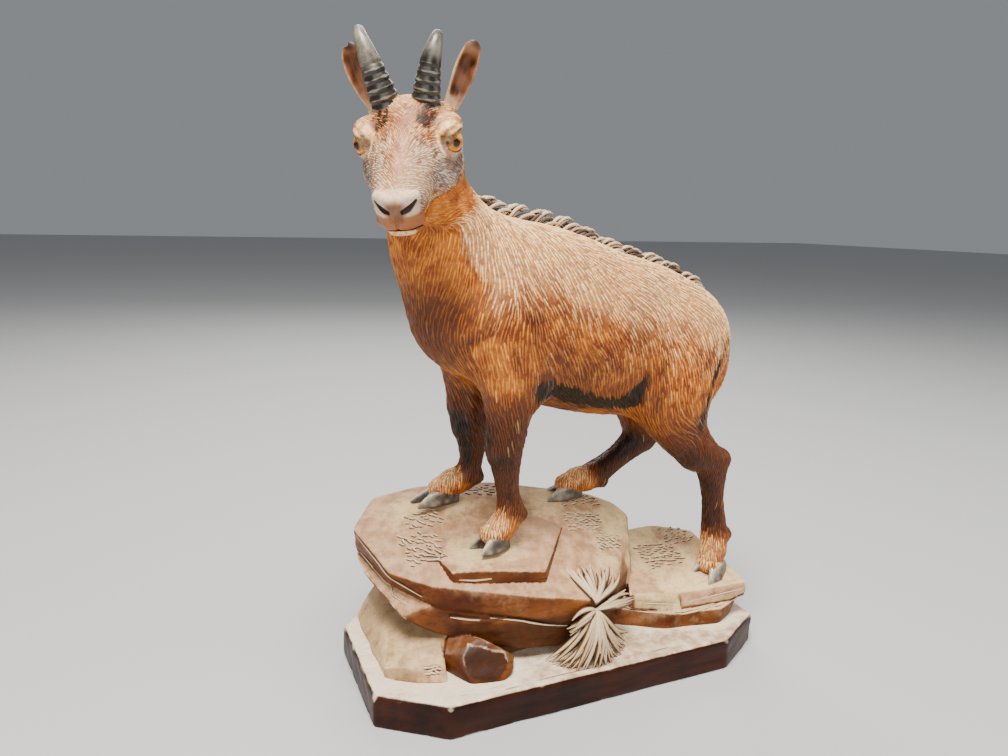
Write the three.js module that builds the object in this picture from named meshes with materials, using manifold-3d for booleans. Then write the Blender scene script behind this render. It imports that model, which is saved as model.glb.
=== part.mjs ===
// A carved wooden chamois on a rocky base. Animal, rocks and plinth are one block of wood,
// and two glass eyes are let into the head.
// Millimetres, +Z up. The origin is the middle of the plinth's underside. The animal faces -X,
// with its left side towards -Y, and turns its head towards -Y.

import * as THREE from "three";
import { ConvexGeometry } from "three/addons/geometries/ConvexGeometry.js";
import { mergeVertices } from "three/addons/utils/BufferGeometryUtils.js";
import Module from "manifold-3d";

const wasm = await Module();
wasm.setup();

// Plinth
const PLINTH_LENGTH = 180;
const PLINTH_WIDTH = 98.4;
const PLINTH_HEIGHT = 13.6;
const PLINTH_CORNERS = [[25, 18], [26, 15], [24, 23], [24, 25.6]];
const PLINTH_EDGE = 1;

// Trunk, neck and tail: stations along each limb are [x, y, z, radius]
const TRUNK = [[-39, 3, 153, 23.5], [-27, 4, 159, 32], [-8, 4, 153.3, 36.7], [18, 4, 145, 36.5],
  [42, 4, 140.5, 34.3], [60, 4, 139, 28]];
const TRUNK_WIDTH = 0.76;
const NECK = [[-39, 4, 165, 25], [-50.5, 2, 181, 22], [-58, -2, 197, 16.4], [-62.5, -5.5, 210, 13]];
const NECK_WIDTH = 0.95;
const TAIL = [[84, 4, 142, 6], [89, 4, 131, 6], [88, 4, 119, 5], [85, 4, 110, 3]];

// Legs: the fleshy upper part, the lean lower part, and the foot
const THIGH_WIDTH = 0.8;
const LEGS = {
  leftFore: {
    upper: [[-30, -8, 150, 22], [-25, -11, 132, 16], [-27, -11, 118, 10.5], [-28, -10, 106, 7.8]],
    lower: [[-28, -10, 106, 7.8], [-28, -10, 95, 6.5], [-26.6, -10, 81, 4.6], [-25.4, -10, 71, 5.8],
      [-29, -10.5, 65, 5.4]],
    foot: { heel: [-30.5, -10.5], toe: [-43, -14], sole: 57.5, size: 1 },
  },
  rightFore: {
    upper: [[-32, 14, 148, 20], [-33, 17, 128, 13], [-34, 17, 112, 9]],
    lower: [[-34, 17, 112, 9], [-32.5, 17, 97, 6.6], [-33, 17, 86, 5], [-35.5, 17, 79.5, 6],
      [-42, 17, 77, 5.4]],
    foot: { heel: [-43, 17], toe: [-57, 15.5], sole: 70, size: 1 },
  },
  leftHind: {
    upper: [[60, -4, 138, 23], [52, -11, 120, 20], [55, -15, 104, 13], [64, -17, 91, 8.6]],
    lower: [[64, -17, 91, 8.6], [72, -18, 84, 7.2], [75, -18, 67, 4.8], [77.5, -18, 49, 6],
      [77, -18.5, 41, 5.6]],
    foot: { heel: [78, -18.5], toe: [68, -25], sole: 29, size: 1.1 },
  },
  rightHind: {
    upper: [[58, 11, 138, 22], [54, 14, 114, 16], [56, 15, 98, 10]],
    lower: [[56, 15, 98, 10], [54, 15, 90, 7.5], [42, 15, 80.5, 5.4], [28, 15, 72.5, 6.2],
      [21, 15, 71.5, 5.4]],
    foot: { heel: [19, 15], toe: [5, 14], sole: 65, size: 1 },
  },
};

// Head: its own frame is [forward along the face, left, up from the brow]
const HEAD_CENTRE = [-67.8, -9.6, 218.7];
const HEAD_TURN = 63.6;
const HEAD_DROP = 28;
const HEAD_LEAN = 3;
const SKULL = { centre: [-4, 0, 1.4], radii: [15, 16, 13] };
const FACE = [[0, 0, 0.5, 14], [14, 0, -1, 12.3], [27, 0, -4, 10.4], [34.5, 0, -6.3, 9.4]];
const JAW = [[-3, 0, -10.6, 11.5], [13, 0, -12.6, 9.5], [29, 0, -13.8, 6.3]];
const CHEEK = { centre: [5, 10.2, -6.5], radii: [13, 7.5, 9] };
const BROW = { centre: [4, 14.9, 7.8], radii: [7.5, 4.8, 3.6] };
const EYE_CENTRE = [7.4, 15.4, 3.6];
const EYE_RADIUS = 4;
const EYE_GAP = 0.3;
const LID_THICKNESS = 1;

// Horns and ears, in the head's frame
const HORN_LEFT = [[-2, 6.1, 9], [-2.5, 6.4, 14], [-3.5, 7.6, 20], [-5.5, 9.1, 26.5], [-9, 10.8, 31.5],
  [-14, 11.6, 34]];
const HORN_RIGHT = [[-2, -7.2, 9], [-2.5, -8.2, 14.5], [-3.5, -10, 21], [-5.5, -12.2, 28],
  [-9, -14.6, 33.6], [-14, -16.4, 36.8]];
const HORN_BASE = 5.6;
const HORN_TIP = 1.5;
const HORN_RINGS = 6;
const HORN_RINGED = 0.6;
const HORN_GROOVE = 0.88;
const HORN_SIDES = 10;
const EAR_LEFT = [[-7, 12, 6], [-10, 17.6, 16.5], [-11.5, 21, 23.6], [-12.5, 24.5, 31]];
const EAR_RIGHT = [[-7, -11.5, 7], [-10, -16.8, 18], [-12, -19.5, 25.4], [-13.5, -20.6, 32]];
const EAR_WIDTH = 5;
const EAR_THICKNESS = 1.5;

// Crest of leaning locks along the back
const CREST_START = -40;
const CREST_END = 62;
const CREST_LOCKS = 17;
const CREST_LENGTH = 9.5;
const CREST_HEIGHT = 4.4;
const CREST_THICKNESS = 2.2;

// Grass tuft on the near side of the rocks
const TUFT_KNOT = [3, -35, 33];
const TUFT_REACH = [19.5, 12.5];
const TUFT_BLADES = 11;
const TUFT_OVER_EDGE = [0, -1, 5];
const TUFT_UPPER_ENDS = [[-1.5, -14], [4, -22], [9, -16], [14, -21], [23, -13], [21, -23]];

// Surface detail of the blended forms
const CELL = 1.9;
const FAR = 40;
const ANIMAL_FACES = 4900;

const HEAD_AXES = headAxes();

// The head's axes in the object's frame, as the columns of a turn
function headAxes() {
  const turn = THREE.MathUtils.degToRad(HEAD_TURN);
  const drop = THREE.MathUtils.degToRad(HEAD_DROP);
  const lean = THREE.MathUtils.degToRad(HEAD_LEAN);
  const level = new THREE.Vector3(-Math.cos(turn), -Math.sin(turn), 0);
  const side = new THREE.Vector3(-level.y, level.x, 0);
  const forward = level.clone().multiplyScalar(Math.cos(drop)).add(new THREE.Vector3(0, 0, -Math.sin(drop)));
  const up = level.clone().multiplyScalar(Math.sin(drop)).add(new THREE.Vector3(0, 0, Math.cos(drop)));
  const left = side.clone().multiplyScalar(Math.cos(lean)).addScaledVector(up, Math.sin(lean));
  const top = up.clone().multiplyScalar(Math.cos(lean)).addScaledVector(side, -Math.sin(lean));
  return [forward, left, top];
}

function fromHead([forward, left, up]) {
  return new THREE.Vector3(...HEAD_CENTRE)
    .addScaledVector(HEAD_AXES[0], forward)
    .addScaledVector(HEAD_AXES[1], left)
    .addScaledVector(HEAD_AXES[2], up);
}

function toHead(x, y, z) {
  const dx = x - HEAD_CENTRE[0];
  const dy = y - HEAD_CENTRE[1];
  const dz = z - HEAD_CENTRE[2];
  return HEAD_AXES.map((axis) => axis.x * dx + axis.y * dy + axis.z * dz);
}

// Distance to a limb whose radius runs smoothly through its stations; width squeezes it in Y
function limb(stations, width = 1) {
  const steps = 5;
  const fine = [];
  for (let i = 0; i < stations.length - 1; i += 1) {
    const b = stations[i];
    const c = stations[i + 1];
    const a = stations[i - 1] ?? b.map((value, k) => 2 * value - c[k]);
    const d = stations[i + 2] ?? c.map((value, k) => 2 * value - b[k]);
    for (let step = 0; step < steps; step += 1) {
      const t = step / steps;
      fine.push(b.map((value, k) => {
        const square = 2 * a[k] - 5 * value + 4 * c[k] - d[k];
        const cube = 3 * value - a[k] - 3 * c[k] + d[k];
        return 0.5 * (2 * value + (c[k] - a[k]) * t + square * t ** 2 + cube * t ** 3);
      }));
    }
  }
  fine.push(stations.at(-1));
  const reach = Math.max(...fine.map((station) => station[3])) + FAR / 2;
  const low = [0, 1, 2].map((k) => Math.min(...fine.map((station) => station[k])) - reach);
  const high = [0, 1, 2].map((k) => Math.max(...fine.map((station) => station[k])) + reach);
  const shrink = Math.sqrt(Math.min(1, width));
  return (x, y, z) => {
    if (x < low[0] || y < low[1] || z < low[2] || x > high[0] || y > high[1] || z > high[2]) {
      return FAR;
    }
    let nearest = Infinity;
    for (let i = 0; i < fine.length - 1; i += 1) {
      const [ax, ay, az, ar] = fine[i];
      const [bx, by, bz, br] = fine[i + 1];
      const dx = bx - ax;
      const dy = (by - ay) / width;
      const dz = bz - az;
      const px = x - ax;
      const py = (y - ay) / width;
      const pz = z - az;
      const along = (px * dx + py * dy + pz * dz) / (dx * dx + dy * dy + dz * dz);
      const t = Math.min(1, Math.max(0, along));
      const gap = Math.hypot(px - t * dx, py - t * dy, pz - t * dz) - (ar + (br - ar) * t);
      nearest = Math.min(nearest, gap);
    }
    return nearest * shrink;
  };
}

function egg({ centre, radii }) {
  return (x, y, z) => {
    const [px, py, pz] = [x - centre[0], y - centre[1], z - centre[2]];
    const size = Math.hypot(px / radii[0], py / radii[1], pz / radii[2]);
    const slope = Math.hypot(px / radii[0] ** 2, py / radii[1] ** 2, pz / radii[2] ** 2);
    return Math.min(FAR, (size * (size - 1)) / Math.max(slope, 1e-9));
  };
}

// Union of two distances with a fillet of about the given size
function blend(a, b, fillet) {
  const overlap = Math.max(fillet - Math.abs(a - b), 0) / fillet;
  return Math.min(a, b) - overlap * overlap * fillet * 0.25;
}

function headForm() {
  const skull = egg(SKULL);
  const face = limb(FACE);
  const jaw = limb(JAW, 0.9);
  const cheek = egg(CHEEK);
  const brow = egg(BROW);
  return (x, y, z) => {
    const [forward, left, up] = toHead(x, y, z);
    const side = Math.abs(left);
    let gap = blend(skull(forward, left, up), face(forward, left, up), 6);
    gap = blend(gap, jaw(forward, left, up), 5);
    gap = blend(gap, cheek(forward, side, up), 5);
    return blend(gap, brow(forward, side, up), 3);
  };
}

function animalForm() {
  const trunk = limb(TRUNK, TRUNK_WIDTH);
  const neck = limb(NECK, NECK_WIDTH);
  const tail = limb(TAIL, 0.8);
  const head = headForm();
  const legs = Object.values(LEGS).map(({ upper, lower }) => [limb(upper, THIGH_WIDTH), limb(lower)]);
  return (x, y, z) => {
    let gap = blend(trunk(x, y, z), neck(x, y, z), 12);
    for (const [upper, lower] of legs) {
      gap = blend(gap, blend(upper(x, y, z), lower(x, y, z), 3), 8);
    }
    gap = blend(gap, tail(x, y, z), 6);
    return blend(gap, head(x, y, z), 7);
  };
}

// Surface of a distance function inside a box, one point in each cell that it crosses
function surface(form, low, high, cell) {
  const count = [0, 1, 2].map((k) => Math.ceil((high[k] - low[k]) / cell) + 1);
  const [nx, ny, nz] = count;
  const values = new Float32Array(nx * ny * nz);
  const at = (i, j, k) => (i * ny + j) * nz + k;
  for (let i = 0; i < nx; i += 1) {
    for (let j = 0; j < ny; j += 1) {
      for (let k = 0; k < nz; k += 1) {
        values[at(i, j, k)] = form(low[0] + i * cell, low[1] + j * cell, low[2] + k * cell);
      }
    }
  }
  const points = [];
  const pointOf = new Map();
  const corners = [0, 1, 2, 3, 4, 5, 6, 7].map((n) => [n & 1, (n >> 1) & 1, (n >> 2) & 1]);
  const edges = [];
  corners.forEach((a, m) => corners.forEach((b, n) => {
    if (n > m && Math.abs(a[0] - b[0]) + Math.abs(a[1] - b[1]) + Math.abs(a[2] - b[2]) === 1) {
      edges.push([m, n]);
    }
  }));
  for (let i = 0; i < nx - 1; i += 1) {
    for (let j = 0; j < ny - 1; j += 1) {
      for (let k = 0; k < nz - 1; k += 1) {
        const value = corners.map(([a, b, c]) => values[at(i + a, j + b, k + c)]);
        const inside = value.filter((gap) => gap < 0).length;
        if (inside > 0 && inside < 8) {
          const sum = new THREE.Vector3();
          let crossings = 0;
          for (const [m, n] of edges) {
            if (value[m] < 0 !== value[n] < 0) {
              const t = value[m] / (value[m] - value[n]);
              const start = new THREE.Vector3(...corners[m]);
              sum.add(start.lerp(new THREE.Vector3(...corners[n]), t));
              crossings += 1;
            }
          }
          sum.divideScalar(crossings).add(new THREE.Vector3(i, j, k)).multiplyScalar(cell);
          pointOf.set(at(i, j, k), points.length);
          points.push(sum.add(new THREE.Vector3(...low)));
        }
      }
    }
  }
  const faces = [];
  const steps = [[1, 0, 0], [0, 1, 0], [0, 0, 1]];
  for (let i = 1; i < nx - 1; i += 1) {
    for (let j = 1; j < ny - 1; j += 1) {
      for (let k = 1; k < nz - 1; k += 1) {
        const here = values[at(i, j, k)] < 0;
        steps.forEach(([a, b, c], axis) => {
          const there = values[at(i + a, j + b, k + c)] < 0;
          if (here !== there) {
            const u = steps[(axis + 1) % 3];
            const v = steps[(axis + 2) % 3];
            const cellPoint = (s, t) => pointOf.get(
              at(i - s * u[0] - t * v[0], j - s * u[1] - t * v[1], k - s * u[2] - t * v[2]));
            const ring = [cellPoint(1, 1), cellPoint(0, 1), cellPoint(0, 0), cellPoint(1, 0)];
            if (!here) {
              ring.reverse();
            }
            faces.push([ring[0], ring[1], ring[2]], [ring[0], ring[2], ring[3]]);
          }
        });
      }
    }
  }
  return { points, faces };
}

// Smallest-first queue of candidate edges
class Queue {
  constructor() {
    this.items = [];
  }

  push(item) {
    const { items } = this;
    items.push(item);
    let place = items.length - 1;
    while (place > 0) {
      const parent = (place - 1) >> 1;
      if (items[parent].cost <= items[place].cost) {
        break;
      }
      [items[parent], items[place]] = [items[place], items[parent]];
      place = parent;
    }
  }

  pop() {
    const { items } = this;
    const first = items[0];
    const last = items.pop();
    if (items.length > 0) {
      items[0] = last;
      let place = 0;
      for (;;) {
        const child = [2 * place + 1, 2 * place + 2]
          .filter((n) => n < items.length)
          .sort((m, n) => items[m].cost - items[n].cost)[0];
        if (child === undefined || items[child].cost >= items[place].cost) {
          break;
        }
        [items[child], items[place]] = [items[place], items[child]];
        place = child;
      }
    }
    return first;
  }
}

// Joins the points whose loss changes the shape least, until few enough faces are left
function thin({ points, faces }, faceTarget, costLimit = Infinity) {
  const position = points.map((point) => point.clone());
  const live = faces.map((face) => [...face]);
  const around = points.map(() => new Set());
  live.forEach((face, n) => face.forEach((v) => around[v].add(n)));
  const version = points.map(() => 0);
  const error = points.map(() => new Float64Array(10));
  const normalOf = (a, b, c) => b.clone().sub(a).cross(c.clone().sub(a));
  for (const face of live) {
    const [a, b, c] = face.map((v) => position[v]);
    const normal = normalOf(a, b, c);
    const area = normal.length() / 2;
    normal.normalize();
    const offset = -normal.dot(a);
    const [x, y, z] = normal.toArray();
    const plane = [x * x, x * y, x * z, x * offset, y * y, y * z, y * offset, z * z, z * offset,
      offset * offset];
    const weight = area * (a.z > 195 ? 3 : 1);
    face.forEach((v) => plane.forEach((value, k) => {
      error[v][k] += value * weight;
    }));
  }
  const costAt = (q, { x, y, z }) => q[0] * x * x + 2 * q[1] * x * y + 2 * q[2] * x * z + 2 * q[3] * x
    + q[4] * y * y + 2 * q[5] * y * z + 2 * q[6] * y + q[7] * z * z + 2 * q[8] * z + q[9];
  const candidate = (a, b) => {
    const q = error[a].map((value, k) => value + error[b][k]);
    const middle = position[a].clone().lerp(position[b], 0.5);
    const length = position[a].distanceTo(position[b]);
    const choices = [middle, position[a], position[b]];
    const m = new THREE.Matrix3().set(q[0], q[1], q[2], q[1], q[4], q[5], q[2], q[5], q[7]);
    if (Math.abs(m.determinant()) > 1e-6) {
      const best = new THREE.Vector3(-q[3], -q[6], -q[8]).applyMatrix3(m.invert());
      if (best.distanceTo(middle) < length * 1.5) {
        choices.push(best);
      }
    }
    const costs = choices.map((choice) => Math.abs(costAt(q, choice)));
    const pick = costs.indexOf(Math.min(...costs));
    const cost = costs[pick] + 1e-4 * length ** 3;
    return { cost, a, b, at: choices[pick], stamp: version[a] + version[b] };
  };
  const neighbours = (v) => {
    const found = new Set([...around[v]].flatMap((n) => live[n]));
    found.delete(v);
    return found;
  };
  const queue = new Queue();
  points.forEach((_, v) => neighbours(v).forEach((w) => {
    if (w > v) {
      queue.push(candidate(v, w));
    }
  }));
  const staysSound = (v, other, at) => [...around[v]].every((n) => {
    if (live[n].includes(other)) {
      return true;
    }
    const old = live[n].map((w) => position[w]);
    const moved = live[n].map((w) => (w === v ? at : position[w]));
    const before = normalOf(...old);
    const after = normalOf(...moved);
    const longest = Math.max(...moved.map((p, k) => p.distanceToSquared(moved[(k + 1) % 3])));
    return before.normalize().dot(after.clone().normalize()) > 0.5 && after.length() > 0.12 * longest;
  });
  let left = live.length;
  while (left > faceTarget && queue.items.length > 0) {
    const { cost, a, b, at, stamp } = queue.pop();
    if (cost > costLimit) {
      break;
    }
    const current = around[a].size > 0 && around[b].size > 0 && version[a] + version[b] === stamp;
    if (current) {
      const nextToB = neighbours(b);
      const shared = [...neighbours(a)].filter((v) => nextToB.has(v));
      if (nextToB.has(a) && shared.length === 2 && staysSound(a, b, at) && staysSound(b, a, at)) {
        position[a].copy(at);
        for (const n of [...around[b]]) {
          if (live[n].includes(a)) {
            live[n].forEach((v) => around[v].delete(n));
            live[n] = null;
            left -= 1;
          } else {
            live[n] = live[n].map((v) => (v === b ? a : v));
            around[a].add(n);
          }
        }
        around[b].clear();
        error[a] = error[a].map((value, k) => value + error[b][k]);
        version[a] += 1;
        version[b] += 1;
        neighbours(a).forEach((v) => queue.push(candidate(a, v)));
      }
    }
  }
  return { points: position, faces: live.filter((face) => face !== null) };
}

function solidFromFaces({ points, faces }) {
  const used = [...new Set(faces.flat())];
  const place = new Map(used.map((v, n) => [v, n]));
  const vertProperties = new Float32Array(used.flatMap((v) => points[v].toArray()));
  const triVerts = new Uint32Array(faces.flat().map((v) => place.get(v)));
  return new wasm.Manifold(new wasm.Mesh({ numProp: 3, vertProperties, triVerts }));
}

function solidFromGeometry(geometry) {
  const bare = geometry.clone();
  bare.deleteAttribute("normal");
  bare.deleteAttribute("uv");
  const merged = mergeVertices(bare, 1e-4);
  const vertProperties = merged.attributes.position.array;
  const triVerts = new Uint32Array(merged.index.array);
  return new wasm.Manifold(new wasm.Mesh({ numProp: 3, vertProperties, triVerts }));
}

function facesFromSolid(solid) {
  const mesh = solid.getMesh();
  const points = [];
  for (let n = 0; n < mesh.vertProperties.length; n += mesh.numProp) {
    points.push(new THREE.Vector3(...mesh.vertProperties.slice(n, n + 3)));
  }
  const faces = [];
  for (let n = 0; n < mesh.triVerts.length; n += 3) {
    faces.push([...mesh.triVerts.slice(n, n + 3)]);
  }
  return { points, faces };
}

function geometryFromFaces({ points, faces }) {
  const geometry = new THREE.BufferGeometry();
  const used = [...new Set(faces.flat())];
  const place = new Map(used.map((v, n) => [v, n]));
  const position = used.flatMap((v) => points[v].toArray());
  geometry.setAttribute("position", new THREE.Float32BufferAttribute(position, 3));
  geometry.setIndex(faces.flat().map((v) => place.get(v)));
  geometry.computeVertexNormals();
  return geometry;
}

function rock(corners) {
  return solidFromGeometry(new ConvexGeometry(corners.map((corner) => new THREE.Vector3(...corner))));
}

// Closed skin over a row of rings that all have the same number of points
function skin(rings) {
  const sides = rings[0].length;
  const points = rings.flat();
  const faces = [];
  for (let i = 0; i < rings.length - 1; i += 1) {
    for (let j = 0; j < sides; j += 1) {
      const next = (j + 1) % sides;
      const [a, b, c, d] = [i * sides + j, i * sides + next, (i + 1) * sides + next, (i + 1) * sides + j];
      faces.push([a, b, c], [a, c, d]);
    }
  }
  const start = points.length;
  points.push(centreOf(rings[0]), centreOf(rings.at(-1)));
  for (let j = 0; j < sides; j += 1) {
    const next = (j + 1) % sides;
    const last = (rings.length - 1) * sides;
    faces.push([start, next, j], [start + 1, last + j, last + next]);
  }
  return solidFromFaces({ points, faces });
}

function centreOf(ring) {
  return ring.reduce((sum, point) => sum.add(point), new THREE.Vector3()).divideScalar(ring.length);
}

// Horn with raised rings on its lower part and a smooth hooked tip
function horn(path) {
  const curve = new THREE.CatmullRomCurve3(path.map(fromHead));
  const smoothSteps = 7;
  const steps = HORN_RINGS * 2 + smoothSteps;
  const rings = [];
  for (let step = 0; step <= steps; step += 1) {
    const ringed = step <= HORN_RINGS * 2;
    const t = ringed
      ? (step / (HORN_RINGS * 2)) * HORN_RINGED
      : HORN_RINGED + ((step - HORN_RINGS * 2) / smoothSteps) * (1 - HORN_RINGED);
    const groove = ringed && step % 2 === 0 ? HORN_GROOVE : 1;
    const taper = HORN_BASE + (HORN_TIP - HORN_BASE) * t ** 1.5;
    const radius = step === steps ? HORN_TIP * 0.5 : taper * groove;
    rings.push(ringAround(curve, t, radius, radius, HORN_SIDES));
  }
  return skin(rings);
}

// Ring of points round a curve, squeezed along the head's forward axis
function ringAround(curve, t, wide, deep, sides, hollow = 0) {
  const centre = curve.getPoint(t);
  const along = curve.getTangent(t);
  const across = HEAD_AXES[0].clone().cross(along).normalize();
  const front = along.clone().cross(across).normalize();
  const ring = [];
  for (let n = 0; n < sides; n += 1) {
    const angle = (n / sides) * 2 * Math.PI;
    const dent = Math.sin(angle) > 0 ? hollow * Math.sin(angle) : 0;
    ring.push(centre.clone()
      .addScaledVector(across, wide * Math.cos(angle))
      .addScaledVector(front, (deep - dent) * Math.sin(angle)));
  }
  return ring;
}

// Leaf-shaped ear with a hollow front
function ear(path) {
  const curve = new THREE.CatmullRomCurve3(path.map(fromHead));
  const steps = 8;
  const rings = [];
  for (let step = 0; step <= steps; step += 1) {
    const t = step / steps;
    const wide = EAR_WIDTH * (0.52 + 1.35 * t - 1.75 * t ** 2.3);
    const deep = EAR_THICKNESS * (1.3 - 0.8 * t);
    rings.push(ringAround(curve, t, wide, deep, 12, t > 0.15 && t < 0.95 ? deep * 1.4 : 0));
  }
  return skin(rings);
}

// Cloven hoof: two pointed toes on one sole, side by side
function hoof({ heel, toe, sole, size }) {
  const back = new THREE.Vector3(heel[0], heel[1], 0);
  const forward = new THREE.Vector3(toe[0] - heel[0], toe[1] - heel[1], 0);
  const length = forward.length();
  forward.normalize();
  const side = new THREE.Vector3(-forward.y, forward.x, 0);
  const place = (along, across, up) => back.clone()
    .addScaledVector(forward, along)
    .addScaledVector(side, across)
    .setZ(sole + up)
    .toArray();
  return [-1, 1].map((hand) => rock([
    place(-4 * size, hand * 0.3, -1.5),
    place(-3.5 * size, hand * 4.2 * size, -1.5),
    place(length * 0.45, hand * 6 * size, -1.5),
    place(length * 0.95, hand * 3.4 * size, -1.5),
    place(length * 0.95, hand * 1.4 * size, -1.5),
    place(length * 0.4, hand * 0.4, -1.5),
    place(length, hand * 2.6 * size, 0.6),
    place(-3.5 * size, hand * 0.2, 7.5 * size),
    place(-3 * size, hand * 4 * size, 6.5 * size),
    place(length * 0.28, hand * 4.6 * size, 6.8 * size),
    place(length * 0.3, hand * 0.9 * size, 7.6 * size),
    place(length * 0.72, hand * 2.4 * size, 3.6 * size),
  ]));
}

// Height of the bare back at a place along its length
function backHeight(x) {
  return 188 - 0.3 * (x - 1) - 0.0008 * (x - 1) ** 2;
}

// One lock of the crest: a thin blade that leans back
function crestLock(x) {
  const half = CREST_THICKNESS / 2;
  const y = TRUNK[2][1];
  const at = (along, across, up) => {
    const place = x + along * CREST_LENGTH;
    return [place, y + across * half, backHeight(place) + up * CREST_HEIGHT];
  };
  return rock([
    at(0, -1, -0.7), at(0, 1, -0.7), at(0.62, -1, -0.7), at(0.62, 1, -0.7),
    at(0.15, -1.3, 0.1), at(0.15, 1.3, 0.1), at(0.3, -0.6, 0.7), at(0.3, 0.6, 0.7),
    at(0.8, 0, 0.5), at(1, 0, 1),
  ]);
}

function plinth() {
  const length = PLINTH_LENGTH / 2;
  const width = PLINTH_WIDTH / 2;
  const outline = (inset) => PLINTH_CORNERS.flatMap(([alongX, alongY], n) => {
    const signX = n === 0 || n === 3 ? -1 : 1;
    const signY = n < 2 ? -1 : 1;
    const sideCorner = [signX * (length - inset), signY * (width - alongY - inset * 0.5)];
    const endCorner = [signX * (length - alongX - inset * 0.5), signY * (width - inset)];
    return n % 2 === 0 ? [sideCorner, endCorner] : [endCorner, sideCorner];
  });
  return rock([
    ...outline(0).map(([x, y]) => [x, y, 0]),
    ...outline(0).map(([x, y]) => [x, y, PLINTH_HEIGHT - PLINTH_EDGE]),
    ...outline(PLINTH_EDGE).map(([x, y]) => [x, y, PLINTH_HEIGHT]),
  ]);
}

// Corners of the upper layer of rock
const UPPER_LAYER = [[-86.5, 17, 61.5], [-77.8, -7, 50.5], [-62.6, -20.5, 48.3], [-41.3, -25, 45.3],
  [-20, -33, 42], [0.4, -36, 38], [15, -31, 36], [36, -12, 38], [46, 8, 52.5], [43, 19, 56],
  [30, 26, 60], [0, 27, 66], [-16.8, 36, 68], [-53, 38, 69], [-73.6, 34, 67.5], [-50, 19, 70.5],
  [13, 15, 66.5], [-20, 18, 67], [-84, 20, 49], [-77.2, -2.5, 44], [-62, -21, 40], [-54, -21, 34],
  [-28, -33, 34.5], [-9, -35.8, 29], [14, -30, 26], [38, -10, 28], [48, 10, 30], [40, 30, 35],
  [0, 40, 40], [-60, 42, 45], [-78, 38, 50]];

// Rocks: each is the faceted body between its corners
function rocks() {
  const top = PLINTH_HEIGHT - 0.6;
  const core = [[-83.5, 30, top], [-83.5, -20, top], [-58, -27, top], [-20, -24, top], [28, -20, top],
    [60, 0, top], [62, 36, top], [40, 42, top], [-60, 43, top], [-76, 40, top], [-77, 26, 24],
    [-80.5, -12, 18.5], [-62, -20, 25], [-25, -20, 28], [20, -16, 28], [45, 10, 34], [40, 34, 34],
    [-55, 36, 38], [-70, 32, 32]];
  const lowerLayer = [[-85.5, 24, 49], [-85, 12, 46], [-79, -4, 40], [-74, -15.5, 33.5],
    [-60, -21.5, 27], [-43, -25.5, 23.5], [-28, -31, 19], [-10.6, -33, 17.5], [4, -26, 19],
    [-60, -20.5, 40], [-27, -32.5, 35], [-8, -35, 30], [6, -30, 28], [-80, 34, 50], [-60, 42, 44],
    [0, 40, 40], [30, 20, 30]];
  const smallSlab = [[-57, -11, 55], [-54.5, -20.5, 53.2], [-41, -23.5, 53.2], [-16, -27, 50],
    [-7, -16.5, 53.6], [3.5, -3.3, 58], [-9.3, 5.5, 61.5], [-37, 6, 61.6], [-50.2, -0.5, 59.3]];
  const ledgeUpper = [[30, -21.5, 28.3], [52, -28.5, 26.5], [66, -30.5, 26.5], [88, -32, 26.5],
    [87.3, -19, 31], [86, 0, 35.5], [86.5, 10, 38], [69, 19, 39.5], [50, 19, 40], [30, -22.5, 22],
    [51.4, -31, 20.5], [86, -33.5, 21], [86, 10, 22], [50, 24, 22]];
  const ledgeLower = [[24, -20, top], [44, -32, top], [68.6, -36.5, top], [80, -30, top], [86, -10, top],
    [86, 12, top], [70, 34, top], [40, 36, top], [28, -20, 21], [46, -31.5, 20.5], [70, -36, 20.5],
    [83, -31, 21], [87, -12, 26], [86, 10, 34], [68, 28, 34], [45, 30, 34]];
  const boulder = [[-60, -24, top], [-52.5, -39.5, top], [-41, -42, top], [-33.5, -35, top],
    [-30, -26, top], [-45, -20, top], [-52, -31, 24.5], [-46.5, -28, 27.5], [-38.5, -36.5, 23],
    [-53.8, -36, 18.5], [-60, -27, 22], [-56, -20, 26], [-35.5, -39, 17], [-31, -31, 17]];
  const leftRock = [[-83.5, -22, top], [-74.5, -30.5, top], [-66.7, -28.4, top], [-82.5, -20, 18],
    [-77.2, -23.5, 20], [-69, -28.7, 18], [-70, -21.5, 23], [-59.5, -21.5, 24], [-60, -20, top],
    [-80, -14, 18]];
  const slabDepth = 7;
  const smallSlabSolid = [...smallSlab, ...smallSlab.map(([x, y, z]) => [x, y, z - slabDepth])];
  const loose = [boulder, leftRock];
  return [core, lowerLayer, UPPER_LAYER, smallSlabSolid, ledgeUpper, ledgeLower, ...loose].map(rock);
}

// One blade of grass: a low ridge from its root to its end
function blade(root, end, out) {
  const along = end.clone().sub(root);
  const across = along.clone().cross(out).normalize();
  const at = (t, wide, proud) => root.clone()
    .addScaledVector(along, t)
    .addScaledVector(across, wide)
    .addScaledVector(out, proud)
    .toArray();
  return rock([
    at(0, -0.6, -3), at(0, 0.6, -3), at(0, 0, 1.4),
    at(0.55, -1.6, -3), at(0.55, 1.6, -3), at(0.55, 0, 2.6),
    at(1, -1, -2), at(1, 1, -2), at(1, 0, 1),
  ]);
}

// Place on top of the upper layer above a point of the plan
function ontoSlab(x, y) {
  const slab = new THREE.Mesh(new ConvexGeometry(UPPER_LAYER.map((corner) => new THREE.Vector3(...corner))));
  const ray = new THREE.Raycaster(new THREE.Vector3(x, y, 200), new THREE.Vector3(0, 0, -1));
  return ray.intersectObject(slab)[0].point;
}

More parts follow.
